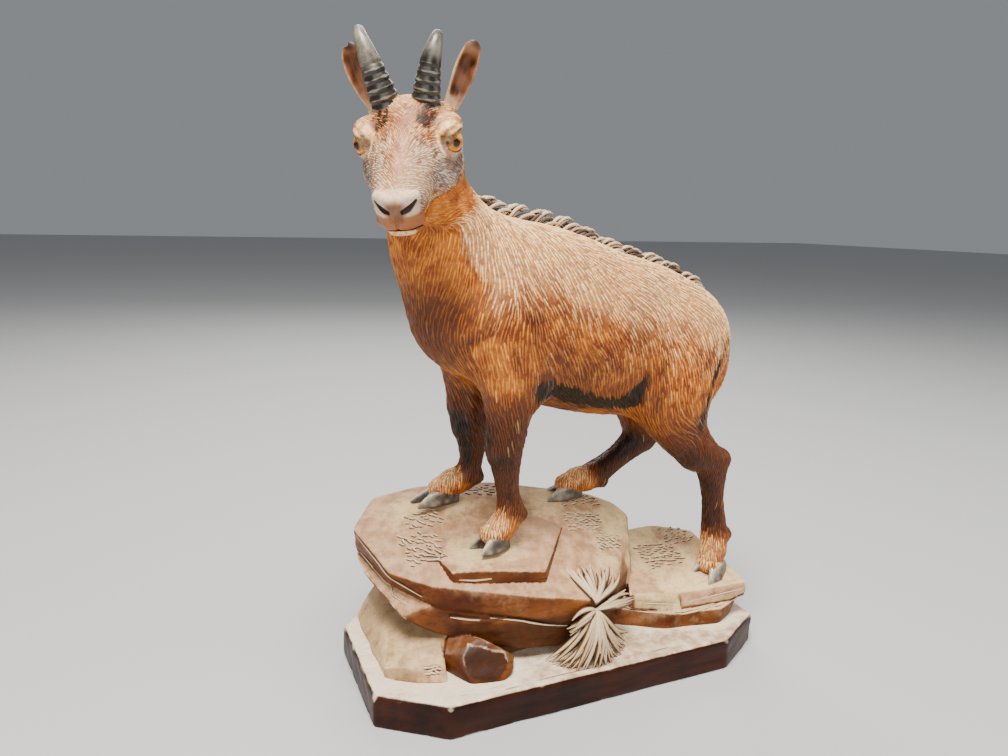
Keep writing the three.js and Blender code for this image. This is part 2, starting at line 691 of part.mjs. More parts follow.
function tuft() {
  const [x, y, z] = TUFT_KNOT;
  const knot = new THREE.Vector3(x, y, z);
  const ends = [];
  for (let n = 0; n < TUFT_BLADES; n += 1) {
    const angle = Math.PI * (1.06 + (0.88 * n) / (TUFT_BLADES - 1));
    ends.push(new THREE.Vector3(
      x - 1 + TUFT_REACH[0] * Math.cos(angle),
      y + 2 + TUFT_REACH[1] * Math.sin(angle),
      PLINTH_HEIGHT + 0.8,
    ));
  }
  const mound = rock([
    [x - 3, y + 2, z - 2], [x + 3, y + 2, z - 2], [x, y + 1, z],
    ...ends.map((end) => [end.x * 0.92, end.y * 0.98 + 0.6, PLINTH_HEIGHT - 0.4]),
    [x - 10, y + 12, PLINTH_HEIGHT - 0.4], [x + 12, y + 12, PLINTH_HEIGHT - 0.4],
  ]);
  const edge = knot.clone().add(new THREE.Vector3(...TUFT_OVER_EDGE));
  const near = new THREE.Vector3(0, -0.86, 0.5);
  const above = new THREE.Vector3(0, -0.5, 0.86);
  return [
    mound,
    ...ends.map((end) => blade(knot, end, near)),
    ...TUFT_UPPER_ENDS.map(([endX, endY]) => blade(edge, ontoSlab(endX, endY), above)),
  ];
}

function eyeGeometry(radius) {
  return new THREE.SphereGeometry(radius, 14, 8);
}

// Raised lid round an eye
function lid(hand) {
  const geometry = new THREE.TorusGeometry(EYE_RADIUS + 0.1, LID_THICKNESS, 6, 14);
  const centre = fromHead([EYE_CENTRE[0], hand * (EYE_CENTRE[1] + 1.6), EYE_CENTRE[2]]);
  const out = fromHead([EYE_CENTRE[0] + 3, hand * (EYE_CENTRE[1] + 11.6), EYE_CENTRE[2]]);
  const frame = new THREE.Object3D();
  frame.up.copy(HEAD_AXES[2]);
  frame.position.copy(centre);
  frame.lookAt(out);
  frame.updateMatrix();
  geometry.applyMatrix4(frame.matrix);
  return solidFromGeometry(geometry);
}

// Slit cut into the head between four places in its own frame
function slit(corners) {
  return rock(corners.map((corner) => fromHead(corner).toArray()));
}

function carving() {
  const blended = surface(animalForm(), [-104, -62, 28], [104, 50, 246], CELL);
  const body = solidFromFaces(thin(blended, ANIMAL_FACES));
  const added = [
    horn(HORN_LEFT), horn(HORN_RIGHT), ear(EAR_LEFT), ear(EAR_RIGHT), lid(1), lid(-1),
    ...Object.values(LEGS).flatMap(({ foot }) => hoof(foot)),
    ...rocks(), ...tuft(), plinth(),
  ];
  for (let n = 0; n < CREST_LOCKS; n += 1) {
    added.push(crestLock(CREST_START + ((CREST_END - CREST_START - CREST_LENGTH) * n) / (CREST_LOCKS - 1)));
  }
  const cuts = [];
  for (const hand of [1, -1]) {
    const socket = eyeGeometry(EYE_RADIUS + EYE_GAP);
    const centre = fromHead([EYE_CENTRE[0], hand * EYE_CENTRE[1], EYE_CENTRE[2]]);
    socket.translate(...centre.toArray());
    cuts.push(solidFromGeometry(socket));
    cuts.push(slit([[44.5, hand * 1.6, -4.5], [44.5, hand * 2.6, -6.5], [44, hand * 6.6, -1.4],
      [43, hand * 7, -3], [40, hand * 2, -5], [40, hand * 6.6, -2.2]]));
  }
  cuts.push(slit([[46, 7, -14], [46, -7, -14], [46, 0, -12.8], [46, 7, -15], [46, -7, -15], [46, 0, -13.6],
    [36, 7, -14.4], [36, -7, -14.4], [36, 0, -13.4]]));
  let whole = body;
  for (const solid of added) {
    whole = whole.add(solid);
  }
  for (const solid of cuts) {
    whole = whole.subtract(solid);
  }
  return geometryFromFaces(thin(facesFromSolid(whole), 0, 0.002));
}

const object = new THREE.Group();

const wood = new THREE.MeshStandardMaterial({ color: 0x8a5230, roughness: 0.5, metalness: 0 });
const carvingMesh = new THREE.Mesh(carving(), wood);
carvingMesh.name = "carving";
object.add(carvingMesh);

const glass = new THREE.MeshStandardMaterial({ color: 0xd07a1e, roughness: 0.08, metalness: 0 });
for (const [name, hand] of [["left_glass_eye", 1], ["right_glass_eye", -1]]) {
  const eye = new THREE.Mesh(eyeGeometry(EYE_RADIUS), glass);
  eye.name = name;
  eye.position.copy(fromHead([EYE_CENTRE[0], hand * EYE_CENTRE[1], EYE_CENTRE[2]]));
  object.add(eye);
}

export default object;
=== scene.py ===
# Dressed model of a carved and stained wooden chamois on a rocky base, with glass eyes.
# Sizes are millimetres in the CAD frame and become metres when a mesh is made.

import itertools
import math

import bmesh
import bpy
import numpy as np
from mathutils import Matrix, Vector


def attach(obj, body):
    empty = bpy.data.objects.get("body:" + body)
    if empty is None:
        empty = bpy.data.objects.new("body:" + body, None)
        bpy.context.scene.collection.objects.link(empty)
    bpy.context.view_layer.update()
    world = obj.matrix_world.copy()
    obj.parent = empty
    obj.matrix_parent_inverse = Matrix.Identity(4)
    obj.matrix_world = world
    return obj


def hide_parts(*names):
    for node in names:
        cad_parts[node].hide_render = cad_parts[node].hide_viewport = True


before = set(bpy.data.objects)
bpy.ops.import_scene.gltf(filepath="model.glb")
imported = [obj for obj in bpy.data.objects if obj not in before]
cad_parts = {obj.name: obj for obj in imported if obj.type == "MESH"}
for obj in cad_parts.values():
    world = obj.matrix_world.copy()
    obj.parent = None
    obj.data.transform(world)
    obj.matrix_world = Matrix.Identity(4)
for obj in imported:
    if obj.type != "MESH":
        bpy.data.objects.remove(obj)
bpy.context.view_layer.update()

MM = 0.001
FAR = 40.0
MIDLINE = 4
BODY_CELL = 0.92
HEAD_CELL = 0.4
HOOF_CELL = 0.4
ROCK_CELL = 0.62
PLINTH_CELL = 0.85
MOST_TRIANGLES = {"chamois_body": 118000, "chamois_head": 150000, "rocks": 182000, "plinth": 86000}
chance = np.random.default_rng(7)

# Trunk, neck, tail and legs: stations along each limb are [x, y, z, radius]
TRUNK = [[-39, 3, 153, 23.5], [-27, 4, 159, 32], [-8, 4, 153.3, 36.7], [18, 4, 145, 36.5],
         [42, 4, 140.5, 34.3], [60, 4, 139, 28]]
TRUNK_WIDTH = 0.76
NECK = [[-39, 4, 165, 25], [-50.5, 2, 181, 22], [-58, -2, 197, 16.4], [-62.5, -5.5, 210, 13]]
NECK_WIDTH = 0.95
TAIL = [[84, 4, 142, 6], [89, 4, 131, 6], [88, 4, 119, 5], [85, 4, 110, 3]]
THIGH_WIDTH = 0.8
LEGS = {
    "left_fore": {
        "upper": [[-30, -8, 150, 22], [-25, -11, 132, 16], [-27, -11, 118, 10.5], [-28, -10, 106, 7.8]],
        "lower": [[-28, -10, 106, 7.8], [-28, -10, 95, 6.5], [-26.6, -10, 81, 4.6],
                  [-25.4, -10, 71, 5.8], [-29, -10.5, 65, 5.4]],
        "foot": [(-30.5, -10.5), (-43, -14), 57.5, 1.0],
    },
    "right_fore": {
        "upper": [[-32, 14, 148, 20], [-33, 17, 128, 13], [-34, 17, 112, 9]],
        "lower": [[-34, 17, 112, 9], [-32.5, 17, 97, 6.6], [-33, 17, 86, 5], [-35.5, 17, 79.5, 6],
                  [-42, 17, 77, 5.4]],
        "foot": [(-43, 17), (-61, 15), 70, 1.0],
    },
    "left_hind": {
        "upper": [[60, -4, 138, 23], [52, -11, 120, 20], [55, -15, 104, 13], [64, -17, 91, 8.6]],
        "lower": [[64, -17, 91, 8.6], [72, -18, 84, 7.2], [75, -18, 67, 4.8], [77.5, -18, 49, 6],
                  [77, -18.5, 41, 5.6]],
        "foot": [(78, -18.5), (65.5, -23.8), 29, 1.1],
    },
    "right_hind": {
        "upper": [[58, 11, 138, 22], [54, 14, 114, 16], [56, 15, 98, 10]],
        "lower": [[56, 15, 98, 10], [54, 15, 90, 7.5], [42, 15, 80.5, 5.4], [28, 15, 72.5, 6.2],
                  [21, 15, 71.5, 5.4]],
        "foot": [(19, 15), (1.5, 14), 65, 1.0],
    },
}

# Small swellings of the legs, as [x, y, z, radius]: knees, hocks and the spurs behind the pasterns
JOINT_KNOBS = [[-29.2, -10, 98.5, 7], [-34, 17, 103, 7.6], [76.5, -18.2, 86, 5.4], [56.5, 15, 89, 6.2],
               [-20.8, -8, 70.5, 2.6], [-21, -12.6, 70.5, 2.4], [-30.2, 14.6, 79, 2.5],
               [-30.2, 19.4, 79, 2.5],
               [82.2, -15.8, 49.5, 2.7], [82.4, -20.4, 49, 2.7], [33.4, 12.8, 69.6, 2.5],
               [33.4, 17.4, 69.6, 2.5]]

# Head: its own frame is [forward along the face, left, up from the brow]
HEAD_CENTRE = np.array([-67.8, -9.6, 218.7])
HEAD_TURN = 63.6
HEAD_DROP = 28
HEAD_LEAN = 3
SKULL = ([-4, 0, 1.4], [15, 16, 13])
FACE = [[0, 0, 0.5, 14], [14, 0, -1, 12.3], [27, 0, -4, 10.2], [34.5, 0, -6.3, 8.6]]
JAW = [[-3, 0, -10.6, 11.5], [13, 0, -12.4, 9.3], [29, 0, -12.8, 5.4]]
CHEEK = ([5, 10.2, -6.5], [13, 7.5, 9])
BROW = ([4, 14.9, 7.6], [7.5, 4.4, 3.3])
# The crease between the brow and the upper lid, where shade is painted
BROW_CREASE = [[14, 12.4, 4.5, 0.5], [12, 14.4, 8, 0.8], [7, 17.6, 9.2, 0.8], [1, 19, 8, 0.5]]
EYE = np.array([7.4, 15.4, 3.6])
EYE_RADIUS = 4.15
LID_RADIUS = 5.1

NOSE_WING = [[41.5, 1.7, -3, 1.3], [40.5, 4.2, -1.6, 1.6], [37.8, 6.4, -2.2, 1.4]]
UPPER_LIP = [[36, 6.6, -11.8, 1.6], [39.3, 3.3, -11.2, 1.9], [40, 0, -11, 1.9], [39.3, -3.3, -11.2, 1.9],
             [36, -6.6, -11.8, 1.6]]
LOWER_LIP = [[33, 5.4, -15.6, 1.4], [37, 2.8, -15, 1.7], [38, 0, -14.8, 1.8], [37, -2.8, -15, 1.7],
             [33, -5.4, -15.6, 1.4]]
NOSTRIL = [[42.6, 2.6, -5.5, 0.7], [42.3, 4.1, -5.0, 1.0], [41.3, 5.6, -4.1, 0.9], [40.0, 6.8, -2.9, 0.55]]
PHILTRUM = [[43.6, 0, -5.5, 0.5], [42.5, 0, -8.5, 0.45], [41.5, 0, -12.6, 0.4]]
MOUTH_HEIGHT = -13.1
MOUTH_DROP = 0.042

# Horns and ears, in the head's frame
HORN_LEFT = [[-2, 6.1, 9], [-2.5, 6.4, 14], [-3.5, 7.6, 20], [-5.5, 9.1, 26.5], [-9, 10.8, 31.5],
             [-14, 11.6, 34]]
HORN_RIGHT = [[-2, -7.2, 9], [-2.5, -8.2, 14.5], [-3.5, -10, 21], [-5.5, -12.2, 28], [-9, -14.6, 33.6],
              [-14, -16.4, 36.8]]
HORN_BASE = 5.6
HORN_TIP = 1.5
HORN_RINGS = 6
HORN_RINGED = 0.6
EAR_LEFT = [[-7, 12, 6], [-10, 17.6, 16.5], [-11.5, 21, 23.6], [-12.5, 24.5, 31]]
EAR_RIGHT = [[-7, -11.5, 7], [-10, -16.8, 18], [-12, -19.5, 25.4], [-13.5, -20.6, 32]]
EAR_WIDTH = 3.9

# Where the head's own finely meshed piece meets the neck
NECK_CUT = np.array([-58.0, -2.0, 197.0])
NECK_CUT_NORMAL = np.array([-0.3, -0.55, 0.78])

# Hair: guides are [x, y, z] and the way the hair lies there, for the near side of the body
HAIR_GUIDES = [
    [-54, -17, 199, -0.45, 0, -0.9], [-48, -18, 185, -0.35, 0, -0.94], [-54, -18, 172, -0.45, 0, -0.9],
    [-42, -18, 181, 0.12, 0, -0.99], [-40, -8, 197, 0.7, -0.3, -0.6], [-22, -16, 181, 0, 0, -1],
    [-24, -8, 192, 0.75, -0.3, -0.55], [-38, -23, 163, -0.3, 0, -0.95], [-12, -17, 177, 0.6, 0, -0.8],
    [-12, -23, 162, 0.55, 0, -0.83], [-19, -24, 150, 0.3, 0, -0.95], [12, -2, 185, 0.94, -0.1, -0.34],
    [12, -22, 160, 0.62, 0, -0.78], [39, -16, 164, 0.86, 0, -0.5], [26, -23, 149, 0.5, 0, -0.86],
    [54, -19, 156, 0.75, 0, -0.66], [57, -24, 139, 0.25, 0, -0.97], [70, -19, 147, 0.5, 0, -0.86],
    [82, 0, 148, 0.4, 0, -0.9], [51, -26, 127, 0.1, 0, -1], [33, -21, 127, -0.15, 0, -0.98],
    [54, -25, 99, 0.75, 0, -0.6], [11, -18, 123, 0.3, 0, -0.95], [-57, -12, 150, -0.1, 0, -1],
    [-34, -21, 129, 0.1, 0, -1], [5, 4, 108, 1, 0, 0], [-50, 4, 135, 0.5, 0, -0.8],
]
HAIR_REACH = 12
# Stains on the near side, mirrored to the far side: lines and spots, where the flank crease is a line of
# painted shade
BELLY_BAND = [[-20, -20, 126], [-12, -19, 124], [0, -14, 119.5], [14, -13, 115.5], [25, -14, 114.5],
              [31, -19, 119], [35, -23, 126]]
FLANK_CREASE = [[33, -22, 124], [38, -24, 131], [42, -25, 138], [44, -24, 145]]
REAR_LINE = [[76, -15, 142], [71, -18, 134], [66, -21, 125], [62, -23, 115], [60, -24, 105]]
ELBOW_PATCH = [[-34, -21, 129], [-38, -22, 134], [-40, -22, 141]]
ANKLES = [[-31, -10.5, 62], [-46, 17, 75], [76, -19, 40], [19, 15, 69]]
# The same for the head, in its own frame, for its left side
HEAD_HAIR_GUIDES = [
    [20, 0, 12, -1, 0, 0.1], [28, 9, 0, -0.7, 0.2, -0.6], [36, 5, 3, -0.8, 0.5, -0.3],
    [5, 4, 13, -0.85, 0.45, 0.3],
    [0, 12, 12, -0.5, 0.85, 0.1], [16, 10, 4, -0.75, 0.5, -0.3], [8, 15, -6, -0.5, 0.1, -0.85],
    [-8, 14, -4, -0.7, 0, -0.7], [12, 6, -20, -0.9, 0, -0.3], [-6, 0, -20, -0.9, 0, -0.5],
]
HEAD_HAIR_REACH = 7
STROKE_LENGTH = 9.4
STROKE_WIDTH = 1.08
STROKE_THICKNESS = 0.95
STROKE_SPACING = 5.9

# Crest along the back
CREST_START = -42
CREST_END = 70
CREST_SCALLOPS = 10

# Plinth and rocks
PLINTH_LENGTH = 180
PLINTH_WIDTH = 98.4
PLINTH_HEIGHT = 13.6
PLINTH_CORNERS = [[25, 18], [26, 15], [24, 23], [24, 25.6]]
PLINTH_EDGE = 1
TOP = PLINTH_HEIGHT - 0.6
SMALL_SLAB = [[-57, -11, 55], [-54.5, -20.5, 53.2], [-41, -23.5, 53.2], [-16, -27, 50], [-7, -16.5, 53.6],
              [3.5, -3.3, 58], [-9.3, 5.5, 61.5], [-37, 6, 61.6], [-50.2, -0.5, 59.3]]
SLAB_DEPTH = 7
ROCKS = {
    "core": [[-83.5, 30, TOP], [-83.5, -20, TOP], [-58, -27, TOP], [-20, -24, TOP], [28, -20, TOP],
             [60, 0, TOP],
             [62, 36, TOP], [40, 42, TOP], [-60, 43, TOP], [-76, 40, TOP], [-77, 26, 24], [-80.5, -12, 18.5],
             [-62, -20, 25], [-25, -20, 28], [20, -16, 28], [45, 10, 34], [40, 34, 34], [-55, 36, 38],
             [-70, 32, 32]],
    "lower_layer": [[-85.5, 24, 49], [-85, 12, 46], [-79, -4, 40], [-74, -15.5, 33.5], [-60, -21.5, 27],
                    [-43, -25.5, 23.5], [-28, -31, 19], [-10.6, -33, 17.5], [4, -26, 19], [-60, -20.5, 40],
                    [-27, -32.5, 35], [-8, -35, 30], [6, -30, 28], [-80, 34, 50], [-60, 42, 44], [0, 40, 40],
                    [30, 20, 30]],
    "upper_layer": [[-86.5, 17, 61.5], [-77.8, -7, 50.5], [-62.6, -20.5, 48.3], [-41.3, -25, 45.3],
                    [-20, -33, 42], [0.4, -36, 38], [15, -31, 36], [36, -12, 38], [46, 8, 52.5],
                    [43, 19, 56],
                    [30, 26, 60], [0, 27, 66], [-16.8, 36, 68], [-53, 38, 69], [-73.6, 34, 67.5],
                    [-50, 19, 70.5], [13, 15, 66.5], [-20, 18, 67], [-84, 20, 49], [-77.2, -2.5, 44],
                    [-62, -21, 40], [-54, -21, 34], [-28, -33, 34.5], [-9, -35.8, 29], [14, -30, 26],
                    [38, -10, 28], [48, 10, 30], [40, 30, 35], [0, 40, 40], [-60, 42, 45], [-78, 38, 50]],
    "small_slab": SMALL_SLAB + [[x, y, z - SLAB_DEPTH] for x, y, z in SMALL_SLAB],
    "ledge_upper": [[30, -21.5, 28.3], [52, -28.5, 27], [66, -30.5, 28.6], [87.5, -31.5, 29],
                    [87.3, -19, 31.5],
                    [86, 0, 35.5], [86.5, 10, 38], [69, 19, 39.5], [50, 19, 40], [30, -22.5, 22],
                    [51.4, -31, 20.5], [86, -33.5, 23], [86, 10, 22], [50, 24, 22]],
    "ledge_lower": [[24, -20, TOP], [44, -32, TOP], [68.6, -36.5, TOP], [80, -30, TOP], [86, -10, TOP],
                    [86, 12, TOP], [70, 34, TOP], [40, 36, TOP], [28, -20, 21], [46, -31.5, 20.5],
                    [70, -36, 20.5], [83, -31, 21], [87, -12, 26], [86, 10, 34], [68, 28, 34], [45, 30, 34]],
    "boulder": [[-60, -24, TOP], [-52.5, -39.5, TOP], [-41, -42, TOP], [-33.5, -35, TOP], [-30, -26, TOP],
                [-45, -20, TOP], [-52, -31, 24.5], [-46.5, -28, 27.5], [-38.5, -36.5, 23],
                [-53.8, -36, 18.5],
                [-60, -27, 22], [-56, -20, 26], [-35.5, -39, 17], [-31, -31, 17]],
    "left_rock": [[-83.5, -22, TOP], [-71.5, -31, TOP], [-61, -34.5, TOP], [-83, -20.5, 17.5],
                  [-75.5, -27.5, 19.5], [-70, -21.5, 23], [-62.5, -24, 23.5], [-59.5, -21.5, 24],
                  [-60, -20, TOP], [-80, -14, 18]],
}

# The front face of the boulder, painted dark as shade
BOULDER_FACE = [[-54, -34.3, 19.9], [-53.3, -32.3, 22.3], [-50.7, -30.3, 25.2], [-37.7, -36, 22.3],
                [-37.5, -39, 17.6], [-43.3, -40.8, 14.1], [-51.8, -38.3, 15.3], [-54, -36, 17.7]]

# Cracks along the beds of the rock: points on the surface, half-width, depth, and how far below it the worn
# lip lies, or nought for none
CRACKS = [
    ([[-85.3, 17.7, 60.8], [-83, 7.9, 56.6], [-79.9, -0.2, 53.2], [-77.8, -6.4, 49.4], [-72.3, -11.9, 46.6],
      [-66.3, -17.2, 43.8]], 0.5, 0.5, 1.0),
    ([[-84, 18, 52], [-80, 4, 47], [-76, -8, 42], [-70, -14.5, 39]], 0.45, 0.4, 0.8),
    ([[-56.1, -22.2, 35.6], [-48.5, -25, 34.4], [-40.9, -27.7, 33.9]], 0.6, 0.7, 1.0),
    ([[-40.9, -27.6, 35], [-29.3, -31.6, 33.6], [-18.6, -33.3, 30.4], [-6, -34.5, 28.2], [-1.7, -36, 28.8]],
     0.55, 0.9, 0.9),
    ([[-52.5, -23.5, 50.4], [-46, -24.4, 49.6], [-39, -25, 49.8]], 0.4, 0.4, 0.7),
    ([[-36, -25.5, 49], [-25, -27, 48.4], [-17, -28, 47.6]], 0.35, 0.3, 0),
    ([[53, -27.6, 27.4], [52.3, -29.7, 24], [51.4, -32, 20.2]], 0.5, 0.8, 0),
    ([[30.9, -21.8, 21.2], [39.9, -27, 20.8], [50.2, -31.8, 20.3], [59.8, -33, 20.6], [73.7, -33.8, 21.6],
      [86, -33, 23.5]], 0.55, 0.9, 0.9),
    ([[30, -22, 25.4], [40, -26, 24.6], [51, -30, 24]], 0.35, 0.3, 0.7),
    ([[56, -30, 24.6], [70, -31.5, 26], [86, -32.5, 27]], 0.4, 0.35, 0.8),
    ([[-41.9, -46.5, 13.6], [-26.3, -45.6, 13.6], [-8.1, -45.4, 13.6], [20.9, -45.1, 13.6], [45, -44, 13.6]],
     0.6, 0.45, 0),
    ([[-62, -24.5, 13.6], [-72, -30, 13.6]], 0.5, 0.4, 0),
]

# The upper edge of the low rock's front, along which a pale highlight is painted
LOW_RIDGE = [[-83, -20.5, 17.5], [-75.5, -27.5, 19.5], [-69, -25.8, 21.5], [-62.5, -24, 23.5]]

# Patches of short gouge strokes that stand for short grass: middle, reach along X and Y, number
STROKE_PATCHES = [
    ([-63, -4, 56], [8, 9], 44, -50), ([-58, 9, 63], [8, 5], 20, -40), ([17, -1, 56], [10, 6], 48, -12),
    ([26, -9, 48], [7, 5], 26, -20), ([57, -3, 34], [10, 9], 52, -20), ([-66, -31.2, 16], [3, 2.4], 9, -25),
    ([20, 14, 60], [12, 6], 30, 10), ([-30, 24, 68], [16, 7], 40, -30), ([74, 8, 38], [8, 8], 24, 20),
]


def smooth(value, low, high):
    t = np.clip((value - low) / (high - low), 0, 1)
    return t * t * (3 - 2 * t)


def unit(vectors):
    return vectors / np.maximum(np.linalg.norm(vectors, axis=-1, keepdims=True), 1e-9)


def head_axes():
    turn, drop, lean = np.radians([HEAD_TURN, HEAD_DROP, HEAD_LEAN])
    level = np.array([-np.cos(turn), -np.sin(turn), 0])
    side = np.array([-level[1], level[0], 0])
    forward = level * np.cos(drop) - np.array([0, 0, np.sin(drop)])
    up = level * np.sin(drop) + np.array([0, 0, np.cos(drop)])
    leaning_side = side * np.cos(lean) + up * np.sin(lean)
    return np.array([forward, leaning_side, up * np.cos(lean) - side * np.sin(lean)])


HEAD_AXES = head_axes()


def to_head(points):
    return (points - HEAD_CENTRE) @ HEAD_AXES.T


def from_head(points):
    return HEAD_CENTRE + np.asarray(points, float) @ HEAD_AXES


def folded(local):
    return local * [1, 0, 1] + np.abs(local) * [0, 1, 0]


def curve_through(stations, steps):
    stations = np.asarray(stations, float)
    ends = np.vstack([2 * stations[0] - stations[1], stations, 2 * stations[-1] - stations[-2]])
    fine = []
    for a, b, c, d in zip(ends[:-3], ends[1:-2], ends[2:-1], ends[3:]):
        for t in np.arange(steps) / steps:
            square = 2 * a - 5 * b + 4 * c - d
            cube = 3 * b - a - 3 * c + d
            fine.append(0.5 * (2 * b + (c - a) * t + square * t ** 2 + cube * t ** 3))
    return np.array(fine + [stations[-1]])


def within(points, corners, reach):
    """Which points lie in the box round the corners, widened by the reach."""
    return np.all((points > np.min(corners, 0) - reach) & (points < np.max(corners, 0) + reach), axis=1)


def limb(points, stations, width=1.0, steps=5):
    fine = curve_through(stations, steps)
    near = within(points, fine[:, :3], fine[:, 3].max() + FAR / 2)
    result = np.full(len(points), FAR)
    squeeze = np.array([1, 1 / width, 1])
    p = points[near] * squeeze
    best = np.full(len(p), FAR)
    for a, b in zip(fine[:-1], fine[1:]):
        start = a[:3] * squeeze
        along = b[:3] * squeeze - start
        offset = p - start
        t = np.clip(offset @ along / (along @ along), 0, 1)
        gap = np.linalg.norm(offset - t[:, None] * along, axis=1) - (a[3] + (b[3] - a[3]) * t)
        best = np.minimum(best, gap)
    result[near] = best * math.sqrt(min(1, width))
    return result


def egg(points, form):
    centre, radii = np.asarray(form[0], float), np.asarray(form[1], float)
    p = points - centre
    size = np.linalg.norm(p / radii, axis=1)
    slope = np.linalg.norm(p / radii ** 2, axis=1)
    return np.minimum(FAR, size * (size - 1) / np.maximum(slope, 1e-9))


def ball(points, centre, radius):
    return np.linalg.norm(points - centre, axis=1) - radius


def blend(a, b, fillet):
    overlap = np.maximum(fillet - np.abs(a - b), 0) / fillet
    return np.minimum(a, b) - overlap ** 2 * fillet * 0.25


def cut(a, b, fillet):
    return -blend(-a, b, fillet)


def head_distance(local):
    mirrored = folded(local)
    gap = blend(egg(local, SKULL), limb(local, FACE), 6)
    gap = blend(gap, limb(local, JAW, 0.9), 5)
    gap = blend(gap, egg(mirrored, CHEEK), 5)
    gap = blend(gap, egg(mirrored, BROW), 3)
    for ear in (EAR_LEFT, EAR_RIGHT):
        root = [ear[0] + [3.6], [0.75 * a + 0.25 * b for a, b in zip(ear[0], ear[1])] + [2.6]]
        gap = blend(gap, limb(local, root, steps=1), 4)
    for horn in (HORN_LEFT, HORN_RIGHT):
        gap = blend(gap, limb(local, [horn[0] + [6.2], horn[1] + [4.4]], steps=1), 2.5)
    return gap


def eye_axes():
    out = unit(np.array([0.3, 1, 0.05]))
    along = unit(np.cross(out, [0.25, 0, 1]))
    return out, along, np.cross(out, along)


def mouth_slit(local, gap):
    forward, side, up = local.T
    line = MOUTH_HEIGHT - MOUTH_DROP * side ** 2
    slit = np.maximum(np.abs(up - line) - 0.45, -gap - 1.3)
    return np.maximum(slit, 27 + 0.4 * np.abs(side) - forward)


def head_details(local, gap):
    mirrored = folded(local)
    out, along, up = eye_axes()
    rim = blend(gap, ball(mirrored, EYE, LID_RADIUS), 1.6)
    offset = mirrored - EYE
    across = offset @ along
    height = -(offset @ up)
    upper = np.hypot(across, height + 1.3) - 5.0
    lower = np.hypot(across, height - 1.3) - 5.0
    opening = np.maximum(np.maximum(upper, lower), -(offset @ out) + 0.4)
    rim = cut(rim, opening, 0.5)
    rim = cut(rim, ball(mirrored, EYE, EYE_RADIUS - 0.1), 0.2)
    rim = blend(rim, limb(mirrored, NOSE_WING, steps=3), 2.5)
    rim = blend(rim, limb(local, UPPER_LIP, steps=3), 2)
    rim = blend(rim, limb(local, LOWER_LIP, steps=3), 1.5)
    rim = cut(rim, limb(mirrored, NOSTRIL, steps=3), 0.6)
    rim = cut(rim, mouth_slit(local, gap), 0.5)
    return cut(rim, limb(local, PHILTRUM, steps=2), 0.7)


def pastern(leg):
    """The hairy end of a leg, down to where it covers the top of the hoof."""
    heel, toe, sole, size = leg["foot"]
    ankle = leg["lower"][-1]
    over = [heel[0] + 0.3 * (toe[0] - heel[0]), heel[1] + 0.3 * (toe[1] - heel[1]), sole + 5.4 * size]
    back = [heel[0], heel[1], sole + 4.4 * size]
    return [ankle[:3] + [5.3 * size], over + [4.4 * size], back + [4.2 * size]]


def animal_distance(points):
    gap = blend(limb(points, TRUNK, TRUNK_WIDTH), limb(points, NECK, NECK_WIDTH), 12)
    for leg in LEGS.values():
        whole = blend(limb(points, leg["upper"], THIGH_WIDTH), limb(points, leg["lower"]), 3)
        gap = blend(gap, whole, 8)
    gap = blend(gap, limb(points, TAIL, 0.8), 6)
    for leg in LEGS.values():
        gap = blend(gap, limb(points, pastern(leg), steps=1), 2.5)
    low = points[:, 2] < 110
    if low.any():
        p = points[low]
        legs = gap[low]
        for x, y, z, radius in JOINT_KNOBS:
            legs = blend(legs, ball(p, np.array([x, y, z]), radius), 2.5)
        gap[low] = legs
    high = points[:, 2] > 175
    if high.any():
        gap[high] = blend(gap[high], head_distance(to_head(points[high])), 7)
    return gap


def neck_side(points):
    return (points - NECK_CUT) @ unit(NECK_CUT_NORMAL)


def body_distance(points):
    return np.maximum(animal_distance(points), neck_side(points) - 0.6)


def fine_head_distance(points):
    return np.maximum(head_details(to_head(points), animal_distance(points)), -0.6 - neck_side(points))


def planes_of(corners):
    mesh = bmesh.new()
    for corner in corners:
        mesh.verts.new(corner)
    bmesh.ops.convex_hull(mesh, input=mesh.verts)
    centre = np.mean(corners, axis=0)
    planes = set()
    for face in mesh.faces:
        normal = np.array(face.normal)
        offset = float(normal @ np.array(face.verts[0].co))
        if normal @ centre > offset:
            normal, offset = -normal, -offset
        planes.add(tuple(np.round([*normal, offset], 3)))
    mesh.free()
    return np.array(sorted(planes))


def hull_distance(points, planes, rounding):
    gaps = points @ planes[:, :3].T - planes[:, 3]
    top = gaps.max(1)
    return top + rounding * np.log(np.exp((gaps - top[:, None]) / rounding).sum(1)) - rounding * 0.7


def flat_frame(corners):
    """The middle of a nearly flat face, and three axes of which the last stands across it."""
    middle = np.mean(corners, 0)
    return middle, np.linalg.svd(np.asarray(corners, float) - middle)[2]


ROCK_PLANES = {name: planes_of(corners) for name, corners in ROCKS.items()}
FACE_MIDDLE, FACE_AXES = flat_frame(BOULDER_FACE)
FACE_WAY = -FACE_AXES[2] * np.sign(FACE_AXES[2][1])
ROCK_PLANES["boulder"] = np.vstack([ROCK_PLANES["boulder"], [*FACE_WAY, FACE_WAY @ FACE_MIDDLE - 0.4]])


def rock_distance(points):
    gap = np.full(len(points), FAR)
    for name, planes in ROCK_PLANES.items():
        near = within(points, ROCKS[name], 12)
        gap[near] = np.minimum(gap[near], hull_distance(points[near], planes, 0.35))
    return np.maximum(gap, TOP - 2 - points[:, 2])


HOOF_SIZES = {"left_fore": 1.1, "right_fore": 1.05, "left_hind": 1.25, "right_hind": 1.0}


